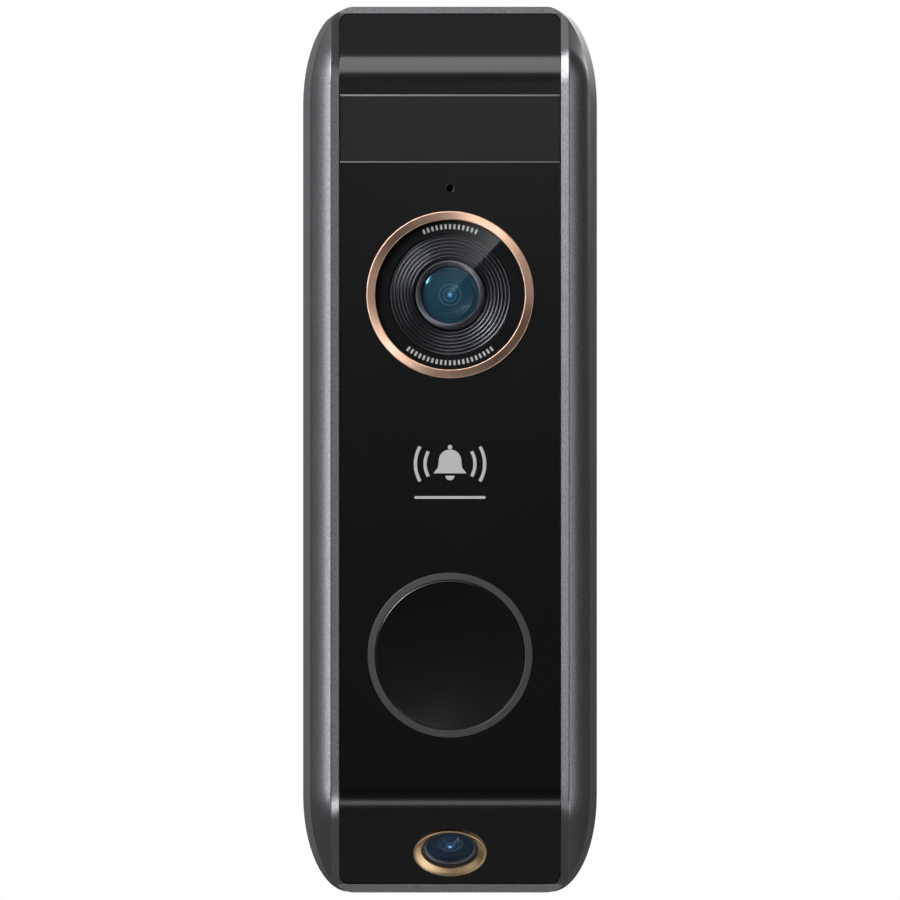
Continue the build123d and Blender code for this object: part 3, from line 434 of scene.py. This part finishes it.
inside = add(border, "MapRange", {"Value": reach, "From Min": TICK_INNER * MM,
                                  "From Max": (TICK_INNER + TICK_BLUR) * MM})
outside = add(border, "MapRange", {"Value": reach, "From Min": TICK_OUTER * MM,
                                   "From Max": (TICK_OUTER - TICK_BLUR) * MM})
band = add(border, "Math", {0: inside.outputs[0], 1: outside.outputs[0]}, operation="MULTIPLY")
marks = add(border, "Math", {0: sharp.outputs[0], 1: arcs.outputs[0]}, operation="MULTIPLY")
marks = add(border, "Math", {0: marks.outputs[0], 1: band.outputs[0]}, operation="MULTIPLY")
tint = add(border, "Mix", {0: marks.outputs[0], 6: linear("030304"), 7: linear("b0b0b2")},
           data_type="RGBA")
shader = add(border, "BsdfPrincipled", {
    "Base Color": tint.outputs[2], "Roughness": 0.6, "IOR": 1.25})
paint(coat(border, shader), "camera_mask")


def black_chrome(name, colour, roughness):
    """Black chrome on a moulding: dark, but every rounded rib draws a bright line."""
    material, place = finish_named(name)
    cloud = add(material, "TexNoise", {"Vector": place, "Scale": 1 / (4.0 * MM), "Detail": 2.0})
    rough = add(material, "MapRange", {
        "Value": cloud.outputs["Fac"], "To Min": roughness - 0.03, "To Max": roughness + 0.03})
    shader = add(material, "BsdfPrincipled", {
        "Base Color": linear(colour), "Metallic": 1.0, "Roughness": rough.outputs["Result"]})
    return coat(material, shader)


# Seven rounded ribs step down the funnel from the border to the barrel.
RIBS = 7
RIB_OUTER = 11.42
RIB_INNER = 6.75
RIB_PITCH = (RIB_OUTER - RIB_INNER) / RIBS
RIB_STEP = 0.3
RIB_RISE = 0.2
GROOVE_DEPTH = 0.16
funnel = [(13.96, 22.8), (13.96, 26.08), (11.5, 26.08)]
for rib in range(RIBS):
    crown = RIB_OUTER - rib * RIB_PITCH
    level = 25.72 - rib * RIB_STEP
    groove = level - GROOVE_DEPTH
    funnel += half_round(crown, crown - RIB_PITCH * 0.68, level, RIB_RISE)
    funnel += [(crown - RIB_PITCH * 0.72, groove), (crown - RIB_PITCH * 0.96, groove)]
funnel += [(6.78, 22.8)]
mesh_piece("camera_baffle_ribbed", lathe(funnel, CAMERA_PLACE), "doorbell",
           black_chrome("baffle_black_chrome", "606064", 0.3), "baffle_black", "camera_baffle")

barrel = lathe([
    (5.3, 24.25), (5.42, 24.75), (6.35, 24.75), (6.6, 24.45), (6.6, 22.6), (7.4, 22.4),
    (7.4, 12.0), (6.0, 12.0), (6.0, 20.4), (4.6, 20.9), (4.6, 22.6), (5.3, 22.6)], CAMERA_PLACE)
round_over(barrel, 0.05 * MM, 2)
mesh_piece("camera_barrel_turned", barrel, "doorbell", turned_anodised(
    "barrel_dark_anodised", "58585d", "6a6a70", 0.5, CAMERA_MIDDLE, CAMERA_AXIS),
    "barrel_metal", "camera_barrel")


def coated_glass(name, body, coating, clear, shine_share):
    """Optical glass: a faint body tint, and a coloured anti-reflection coating."""
    material, place = finish_named(name)
    film = add(material, "TexNoise", {"Vector": place, "Scale": 1 / (4.0 * MM), "Detail": 1.0})
    hue = add(material, "Mix", {0: film.outputs["Fac"], 6: linear(coating[0]),
                                7: linear(coating[1])}, data_type="RGBA")
    tinted = add(material, "BsdfDiffuse", {"Color": linear(body)})
    through = add(material, "BsdfTransparent", {"Color": (0.9, 0.96, 1.0, 1)})
    depths = add(material, "MixShader", {0: clear, 1: tinted.outputs[0], 2: through.outputs[0]})
    shine = add(material, "BsdfGlossy", {"Color": hue.outputs[2], "Roughness": 0.1})
    edge = add(material, "Fresnel", {"IOR": 1.7})
    amount = add(material, "MapRange", {"Value": edge.outputs[0], "To Min": shine_share,
                                        "To Max": 1.0})
    outer = outer_side(material, amount.outputs["Result"])
    mixed = add(material, "MixShader", {0: outer, 1: depths.outputs[0], 2: shine.outputs[0]})
    return coat(material, mixed)


lens_finish = coated_glass("lens_teal_coating", "2c5468", ("6fb4cf", "9fd6ea"), 0.62, 0.1)
lens = lathe(dome(18.0, 24.9, 0, 5.27, 16) + [(5.27, 22.65), (4.8, 22.8)]
             + dome(11.0, 23.9, 4.8, 0, 10), CAMERA_PLACE)
mesh_piece("camera_lens_ground", lens, "doorbell", lens_finish, "lens_glass", "camera_front_lens")

def painted_lip_highlights(material, reach, *radii):
    """How strongly painted highlights show on fine lips, round an axis at radii in millimetres."""
    bright = 0.0
    for radius in radii:
        near = add(material, "Math", {0: reach, 1: radius * MM}, operation="SUBTRACT")
        gap = add(material, "Math", {0: near.outputs[0]}, operation="ABSOLUTE")
        lip = add(material, "MapRange", {"Value": gap.outputs[0], "From Min": 0.13 * MM,
                                         "From Max": 0.06 * MM})
        bright = add(material, "Math", {0: bright, 1: lip.outputs[0]},
                     operation="MAXIMUM").outputs[0]
    return bright


# The stop is blackened, and near-white painted highlights mark its two thin lips. The eye behind it shows the
# sensor's painted blue glint, which glows.
stop, place = finish_named("iris_stop_painted_lip_highlights")
centred, reach, around = radius_from(stop, place, CAMERA_MIDDLE, CAMERA_AXIS)
# Near-white painted highlights on the stop's two lips.
tint = add(stop, "Mix", {0: painted_lip_highlights(stop, reach, 1.2, 1.98), 6: linear("0a0d12"),
                         7: linear("dfeaf2")}, data_type="RGBA")
shader = add(stop, "BsdfPrincipled", {
    "Base Color": tint.outputs[2], "Roughness": 0.35, "IOR": 1.8})
iris = lathe([(1.1, 21.0), (1.1, 21.75), (1.2, 21.85), (1.3, 21.75), (1.88, 21.7), (1.98, 21.8),
              (2.08, 21.7), (2.9, 21.82), (3.7, 22.05), (4.4, 22.4), (4.55, 22.35), (4.55, 21.0)],
             CAMERA_PLACE)
mesh_piece("camera_stop_blackened", iris, "doorbell", coat(stop, shader), "baffle_black", "camera_iris")


def painted_glint_eye(name, centre, axis, core_mm, *step_radii):
    """Deep blue glass over the sensor, with a painted pale glint in the middle, a painted blue halo round it
    and painted highlights on any thin steps; the whole glass glows by emission.
    """
    material, place = finish_named(name)
    centred, reach, around = radius_from(material, place, centre, axis)
    core = add(material, "MapRange", {"Value": reach, "From Min": core_mm * 0.5 * MM,
                                      "From Max": core_mm * MM, "To Min": 1.0, "To Max": 0.0})
    halo = add(material, "MapRange", {"Value": reach, "From Min": core_mm * MM,
                                      "From Max": core_mm * 2.4 * MM, "To Min": 1.0,
                                      "To Max": 0.0})
    deep = add(material, "Mix", {0: halo.outputs["Result"], 6: linear("03060c"),
                                 7: linear("1d5a8c")}, data_type="RGBA")
    tint = add(material, "Mix", {0: core.outputs["Result"], 6: deep.outputs[2],
                                 7: linear("bfe6ff")}, data_type="RGBA")
    stepped = add(material, "Mix", {0: painted_lip_highlights(material, reach, *step_radii),
                                    6: tint.outputs[2], 7: linear("34465a")}, data_type="RGBA")
    # Emission makes the painted glint and halo glow, though the eye is no lamp.
    shader = add(material, "BsdfPrincipled", {
        "Base Color": stepped.outputs[2], "Roughness": 0.12, "IOR": 1.7,
        "Emission Color": stepped.outputs[2], "Emission Strength": 1.2})
    return coat(material, shader)


eye = lathe(dome(3.2, 21.6, 0, 1.05, 8) + [(1.05, 20.2), (5.9, 20.2), (5.9, 18.0), (0, 18.0)],
            CAMERA_PLACE)
mesh_piece("camera_eye_glass", eye, "doorbell",
           painted_glint_eye("sensor_glass_painted_glint", CAMERA_MIDDLE, CAMERA_AXIS, 0.42),
           "lens_glass", "camera_inner_lens")


def moulded(name, colour, roughness, grain_mm, depth_mm=0.01):
    """Moulded engineering plastic with a fine spark-eroded grain."""
    material, place = finish_named(name)
    grain = add(material, "TexNoise", {"Vector": place, "Scale": 1 / (grain_mm * MM),
                                       "Detail": 3.0})
    cloud = add(material, "TexNoise", {"Vector": place, "Scale": 1 / (6.0 * MM), "Detail": 2.0})
    base = linear(colour)
    pale = tuple(min(1.0, c * 1.35 + 0.002) for c in base[:3])
    tint = add(material, "Mix", {0: cloud.outputs["Fac"], 6: base, 7: (*pale, 1.0)},
               data_type="RGBA")
    rough = add(material, "MapRange", {
        "Value": cloud.outputs["Fac"], "To Min": roughness - 0.05, "To Max": roughness + 0.05})
    skin = add(material, "Bump", {
        "Height": grain.outputs["Fac"], "Strength": 0.4, "Distance": depth_mm * MM})
    shader = add(material, "BsdfPrincipled", {
        "Base Color": tint.outputs[2], "Roughness": rough.outputs["Result"], "IOR": 1.53,
        "Normal": skin.outputs["Normal"]})
    return coat(material, shader)


paint(moulded("black_engineering_plastic", "151517", 0.5, 0.25),
      "camera_holder", "battery_tray", "speaker_driver")
paint(moulded("chip_epoxy", "131314", 0.6, 0.15), "image_sensor", "board_chips")


# ---- Lower camera --------------------------------------------------------------
# A smaller camera looks down at the doorstep from the lower facet: a champagne
# ring with a bright lip, a recessed cover, the barrel's step rings and the lens.

FACET_LEAN = math.radians(51.2)
LOWER_AXIS = Vector((0, -math.cos(FACET_LEAN), -math.sin(FACET_LEAN)))
# The ring's box is centred 1.05 mm behind the panel's face.
LOWER_MIDDLE = middle_of("lower_camera_ring") + LOWER_AXIS * 1.05 * MM
LOWER_PLACE = Matrix.Translation(LOWER_MIDDLE) @ Matrix.Rotation(
    math.radians(90) + FACET_LEAN, 4, "X")

champagne = turned_anodised("champagne_anodised", "a88c68", "c9b08c", 0.4, LOWER_MIDDLE,
                            LOWER_AXIS)
lip = lathe([(5.4, -2.4), (5.4, -0.45), (5.58, -0.32), (6.28, 0.18), (6.42, 0.28), (6.54, 0.47),
             (6.62, 0.5), (6.76, 0.48), (6.85, 0.38), (6.85, -2.4)], LOWER_PLACE)
round_over(lip, 0.05 * MM, 2)
mesh_piece("lower_camera_ring_turned", lip, "doorbell", champagne, "champagne_ring", "lower_camera_ring")

lower_cover = lathe(dome(80.0, -0.36, 0, 5.36, 12) + [(5.36, -0.8), (0, -0.8)], LOWER_PLACE)
mesh_piece("lower_cover_moulded", lower_cover, "doorbell", cover_finish, "cover_glass", "lower_camera_glass")

lower_barrel = lathe([
    (4.5, -1.6), (4.62, -0.95), (4.72, -0.88), (5.1, -0.88), (5.18, -0.95), (5.36, -1.15),
    (5.36, -6.6), (3.4, -6.6), (3.4, -4.4), (2.6, -3.6), (2.6, -2.65), (4.5, -2.5)], LOWER_PLACE)
round_over(lower_barrel, 0.04 * MM, 2)
# The barrel is dark with a random dusty tone; pale painted highlights mark its two edges at 4.62 and 5.2 mm.
ringed, place = finish_named("black_barrel_painted_edge_highlights")
centred, reach, around = radius_from(ringed, place, LOWER_MIDDLE, LOWER_AXIS)
dust = add(ringed, "TexNoise", {"Vector": place, "Scale": 1 / (0.8 * MM), "Detail": 3.0})
dark = add(ringed, "Mix", {0: dust.outputs["Fac"], 6: linear("111215"), 7: linear("25262b")},
           data_type="RGBA")
tint = add(ringed, "Mix", {0: painted_lip_highlights(ringed, reach, 4.62, 5.2), 6: dark.outputs[2],
                           7: linear("6c6e75")}, data_type="RGBA")
shader = add(ringed, "BsdfPrincipled", {"Base Color": tint.outputs[2], "Roughness": 0.38})
mesh_piece("lower_barrel_turned", lower_barrel, "doorbell", coat(ringed, shader),
           "barrel_metal", "lower_camera_barrel")

lower_lens = lathe(
    dome(14.0, -0.85, 0, 4.45, 14) + [(4.45, -1.95), (2.9, -1.8), (1.5, -1.35), (0, -1.15)],
    LOWER_PLACE)
mesh_piece("lower_lens_ground", lower_lens, "doorbell", coated_glass(
    "lower_lens_blue_coating", "2a3a48", ("4a86c4", "7fb2e6"), 0.76, 0.16), "lens_glass", "lower_camera_lens")

# Painted highlights mark the lower eye's three thin steps, and its middle carries a painted glint that glows.
steps = [(0.62, -1.35), (0.75, -1.5)]
for radius, height in ((1.15, -1.55), (1.75, -1.75), (2.4, -2.0)):
    steps += [(radius - 0.3, height), (radius - 0.08, height + 0.06), (radius, height)]
bead = lathe(dome(0.9, -1.2, 0, 0.6, 8) + steps + [(2.5, -3.6), (3.3, -4.5), (3.3, -5.4),
                                                  (0, -5.4)], LOWER_PLACE)
mesh_piece("lower_eye_glass", bead, "doorbell",
           painted_glint_eye("lower_sensor_painted_glint", LOWER_MIDDLE, LOWER_AXIS, 0.42, 1.08, 1.66, 2.2),
           "lens_glass", "lower_camera_inner_lens")


# ---- Push button and its light ring ---------------------------------------------
# The button is a slightly dished black cap. A smoked ring round it is lit from
# behind by eight lamps. A silicone pad returns it, over a small switch.

BUTTON_PLACE = Matrix.Translation((0, 0, middle_of("ring_button").z)) @ OUTWARD
DISH_BALL = 180.0
dish = [(radius, 26.56 + DISH_BALL - math.sqrt(DISH_BALL ** 2 - radius ** 2))
        for radius in (0, 2, 4, 6, 8, 10, 11, 12, 13, 13.6)]
cap = lathe(dish + [(13.8, 27.1), (14.0, 26.98), (14.0, 25.6), (3.0, 25.6), (2.4, 25.2),
                    (2.4, 24.4), (0, 24.4)], BUTTON_PLACE)
round_over(cap, 0.05 * MM, 2)
mesh_piece("button_cap_dished", cap, "ring_button",
           piano_black("button_black_gloss", "030304", 0.27, 12.0), "button_gloss", "ring_button")

guide, place = finish_named("smoked_light_guide")
haze = add(guide, "TexNoise", {"Vector": place, "Scale": 1 / (2.0 * MM), "Detail": 3.0})
tint = add(guide, "Mix", {0: haze.outputs["Fac"], 6: linear("323234"), 7: linear("3e3e40")},
           data_type="RGBA")
shader = add(guide, "BsdfPrincipled", {
    "Base Color": tint.outputs[2], "Roughness": 0.34, "IOR": 1.49, "Subsurface Weight": 0.1,
    "Subsurface Scale": 0.5 * MM})
halo = lathe([(14.08, 22.4), (14.08, 27.2), (14.27, 27.183), (15.21, 27.097), (15.4, 27.08),
              (15.4, 22.4)], BUTTON_PLACE)
round_over(halo, 0.1 * MM, 3)
mesh_piece("light_ring_moulded", halo, "doorbell", coat(guide, shader), "light_guide", "button_light_ring")

paint(rubber("pad_silicone_grey", "8c8c8e", 0.6, 0.4), "button_pad")
paint(moulded("switch_body_black", "161618", 0.4, 0.2),
      "button_switch", "switch_plunger", "sync_switch")
paint(moulded("lamp_package_white", "d8d4b8", 0.35, 0.1), "button_lamps")


# ---- Boards, battery and loudspeaker ---------------------------------------------
# Sealed inside: glass-fibre boards with green solder mask, two flat cells in blue
# film on a tray, insulated leads, an amber ribbon and a flat loudspeaker.

board, place = finish_named("green_solder_mask")
squared = add(board, "Mapping", {"Vector": place, "Scale": (1.0, 0.0, 1.0)})
tracks = add(board, "TexVoronoi", {"Vector": squared.outputs[0], "Scale": 1 / (2.4 * MM)},
             distance="MANHATTAN", feature="F1")
pads = add(board, "MapRange", {"Value": tracks.outputs["Distance"], "From Min": 0.16,
                               "From Max": 0.13})
runs = add(board, "TexBrick", {
    "Vector": squared.outputs[0], "Scale": 1 / (1.6 * MM), "Mortar Size": 0.06,
    "Color1": (0, 0, 0, 1), "Color2": (0, 0, 0, 1), "Mortar": (1, 1, 1, 1)})
mask_tint = add(board, "Mix", {0: runs.outputs["Color"], 6: linear("0f4a28"),
                               7: linear("1a6b3a")}, data_type="RGBA")
tint = add(board, "Mix", {0: pads.outputs["Result"], 6: mask_tint.outputs[2],
                          7: linear("c8a45c")}, data_type="RGBA")
skin = add(board, "Bump", {"Height": runs.outputs["Color"], "Strength": 0.3,
                           "Distance": 0.02 * MM})
shader = add(board, "BsdfPrincipled", {
    "Base Color": tint.outputs[2], "Roughness": 0.32, "Normal": skin.outputs["Normal"]})
paint(coat(board, shader), "main_board", "camera_board", "lower_camera_board", "power_board")

paint(moulded("lens_milky_polyethylene", "c9cbca", 0.5, 0.4), "motion_lens")
paint(plated("blue_cell_film", "2a5a92", 0.4, 0.6), "battery_cells")
paint(rubber("lead_red_insulation", "a01818", 0.45, 0.3), "battery_leads")
paint(rubber("lead_white_insulation", "c8c8c6", 0.45, 0.3), "terminal_leads")
paint(moulded("amber_polyimide", "a8661c", 0.3, 0.5), "lower_camera_flex")
paint(moulded("speaker_film_grey", "6a6a6c", 0.4, 0.5), "speaker_cone")

mesh, place = finish_named("dust_mesh_woven")
warp = add(mesh, "SeparateXYZ", {0: place})
threads = []
for axis in ("X", "Y"):
    phase = add(mesh, "Math", {0: warp.outputs[axis], 1: FULL_TURN / (0.3 * MM)},
                operation="MULTIPLY")
    threads.append(add(mesh, "Math", {0: phase.outputs[0]}, operation="SINE").outputs[0])
weave = add(mesh, "Math", {0: threads[0], 1: threads[1]}, operation="MAXIMUM")
skin = add(mesh, "Bump", {"Height": weave.outputs[0], "Strength": 0.8, "Distance": 0.05 * MM})
tint = add(mesh, "Mix", {0: weave.outputs[0], 6: linear("0a0a0a"), 7: linear("2c2c2e")},
           data_type="RGBA")
shader = add(mesh, "BsdfPrincipled", {
    "Base Color": tint.outputs[2], "Roughness": 0.7, "Normal": skin.outputs["Normal"]})
paint(coat(mesh, shader), "speaker_mesh")


# ---- Back: sync button, label, bracket and catch ----------------------------------
# The back is plain: a small sync button and a blank silver label in the recess, and
# a glass-filled black bracket whose sprung tongue holds the doorbell's lower end.

paint(moulded("sync_button_grey", "3a3a3c", 0.45, 0.25), "sync_button")
paint(moulded("bracket_glass_filled", "1d1d1f", 0.55, 0.35, 0.02), "wall_bracket")
paint(moulded("catch_acetal", "26262a", 0.38, 0.4), "release_catch")
paint(moulded("label_silver_film", "8f9092", 0.35, 0.5, 0.004), "info_label")


# ---- Studio: pale floor, soft lights and the camera -------------------------------
# Tall strips light the two shoulders, a lamp to the upper left draws the bright arcs on
# the ribs, a box overhead draws the band along the upper bend, low lamps reach the
# lower facet and one behind fills the back. The floor only returns light from below.

def lamp(name, side, up, distance, width, tall, radiance):
    """A soft rectangular lamp that faces the doorbell, placed by its angles in degrees."""
    side, up = math.radians(side), math.radians(up)
    aim = Vector((0, -14 * MM, 0))
    way = Vector((math.sin(side) * math.cos(up), -math.cos(side) * math.cos(up), math.sin(up)))
    data = bpy.data.lights.new(name, "AREA")
    data.shape = "RECTANGLE"
    data.size = width
    data.size_y = tall
    data.energy = radiance * math.pi * width * tall
    piece = bpy.data.objects.new(name, data)
    piece.location = aim + way * distance
    piece.rotation_euler = (-way).to_track_quat("-Z", "Y").to_euler()
    piece.visible_camera = False
    bpy.context.scene.collection.objects.link(piece)


lamp("left_strip", -75, 9, 0.55, 0.26, 0.8, 4.4)
lamp("left_top", -78, 50, 0.6, 0.25, 0.2, 12.0)
lamp("upper_left", -40, 30, 0.6, 0.28, 0.28, 14.5)
lamp("right_strip", 72, -3, 0.6, 0.2, 0.85, 3.3)
lamp("top_box", -6, 57, 0.88, 0.5, 0.75, 2.0)
lamp("low_box", 0, -50, 0.6, 0.3, 0.12, 1.4)
lamp("low_right", 65, -45, 0.6, 0.25, 0.25, 6.0)
lamp("low_left", -50, -48, 0.6, 0.2, 0.2, 3.0)
lamp("back_fill", 165, 25, 0.9, 0.6, 0.6, 3.0)

world = bpy.data.worlds.new("studio")
bpy.context.scene.world = world
world.use_nodes = True
world.node_tree.nodes.clear()
sky = add(world, "TexCoord").outputs["Generated"]
height = add(world, "SeparateXYZ", {0: sky}).outputs["Z"]
# The room is dim at eye level, paler overhead and a little paler below.
above = add(world, "MapRange", {"Value": height, "From Min": 0.55, "From Max": 1.0,
                                "To Min": 0.012, "To Max": 0.14})
below = add(world, "MapRange", {"Value": height, "From Min": -1.0, "From Max": -0.55,
                                "To Min": 0.07, "To Max": 0.0})
room = add(world, "Math", {0: above.outputs["Result"], 1: below.outputs["Result"]},
           operation="ADD")
lit = add(world, "Background", {"Color": (1, 1, 1, 1), "Strength": room.outputs[0]})
seen = add(world, "Background", {"Color": (1, 1, 1, 1), "Strength": 1.0})
path = add(world, "LightPath")
both = add(world, "MixShader", {
    0: path.outputs["Is Camera Ray"], 1: lit.outputs[0], 2: seen.outputs[0]})
add(world, "OutputWorld", {"Surface": both.outputs[0]})


def stage_sheet(name, shape, material):
    """Makes a flat sheet of the studio, which lights the doorbell but isn't seen itself."""
    data = bpy.data.meshes.new(name)
    shape.to_mesh(data)
    shape.free()
    data.materials.append(material)
    sheet = bpy.data.objects.new(name, data)
    bpy.context.scene.collection.objects.link(sheet)
    sheet.visible_camera = False
    return sheet


# A card in front, to the upper left, whose slanting edge shows in the camera's cover.
# It is brightest at the upper end of that edge, and fades to the left and downwards.
EDGE = Vector((0.683, 0, 0.730))
AWAY = Vector((-0.730, 0, 0.683))
EDGE_POINT = Vector((0, -1.2, 0.038))
EDGE_START = -0.2
EDGE_END = 0.32
CARD_DEPTH = 0.25
FADE_DEPTH = 0.17
card_shape = bmesh.new()
corners = [EDGE_POINT + EDGE * along + AWAY * depth
           for along, depth in ((EDGE_START, 0), (EDGE_END, 0), (EDGE_END, CARD_DEPTH),
                                (EDGE_START, CARD_DEPTH))]
card_shape.faces.new([card_shape.verts.new(corner) for corner in corners])
glow, place = finish_named("edge_card_glow")
offset = add(glow, "VectorMath", {0: place, 1: tuple(-c for c in EDGE_POINT)}, operation="ADD")
depth = add(glow, "VectorMath", {0: offset.outputs[0], 1: tuple(AWAY)}, operation="DOT_PRODUCT")
fade = add(glow, "MapRange", {"Value": depth.outputs["Value"], "From Min": 0.0,
                              "From Max": FADE_DEPTH, "To Min": 1.0, "To Max": 0.0})
along = add(glow, "VectorMath", {0: offset.outputs[0], 1: tuple(EDGE)}, operation="DOT_PRODUCT")
rise = add(glow, "MapRange", {"Value": along.outputs["Value"], "From Min": -0.08, "From Max": 0.17,
                              "To Min": 0.0, "To Max": 1.45})
level = add(glow, "Math", {0: fade.outputs["Result"], 1: rise.outputs["Result"]},
            operation="MULTIPLY")
power = add(glow, "Math", {0: level.outputs[0], 1: 2.0}, operation="POWER")
shine = add(glow, "Emission", {"Color": (0.95, 0.96, 1, 1), "Strength": power.outputs[0]})
stage_sheet("edge_card", card_shape, coat(glow, shine))

FLOOR_HEIGHT = -0.6
floor_shape = bmesh.new()
bmesh.ops.create_grid(floor_shape, x_segments=1, y_segments=1, size=3.0,
                      matrix=Matrix.Translation((0, 0, FLOOR_HEIGHT)))
pale, place = finish_named("pale_floor_paper")
fibre = add(pale, "TexNoise", {"Vector": place, "Scale": 40.0, "Detail": 3.0})
tint = add(pale, "Mix", {0: fibre.outputs["Fac"], 6: linear("e8e8e8"), 7: linear("f0f0f0")},
           data_type="RGBA")
shader = add(pale, "BsdfPrincipled", {"Base Color": tint.outputs[2], "Roughness": 0.8})
floor = stage_sheet("floor", floor_shape, coat(pale, shader))
floor.visible_glossy = False

# A long lens far in front sees the doorbell almost without perspective.
DISTANCE = 4.0
FRONT_DEPTH = 20 * MM
VIEW_WIDTH = 168.3 * MM
SENSOR_WIDTH = 36.0
camera_data = bpy.data.cameras.new("camera")
camera = bpy.data.objects.new("camera", camera_data)
bpy.context.scene.collection.objects.link(camera)
camera_data.sensor_width = SENSOR_WIDTH
camera_data.lens = SENSOR_WIDTH * (DISTANCE - FRONT_DEPTH) / VIEW_WIDTH
camera.location = (0.0, -DISTANCE, 0.0)
camera.rotation_euler = (math.radians(90), 0, 0)
bpy.context.scene.camera = camera
bpy.context.scene.view_settings.view_transform = "Standard"
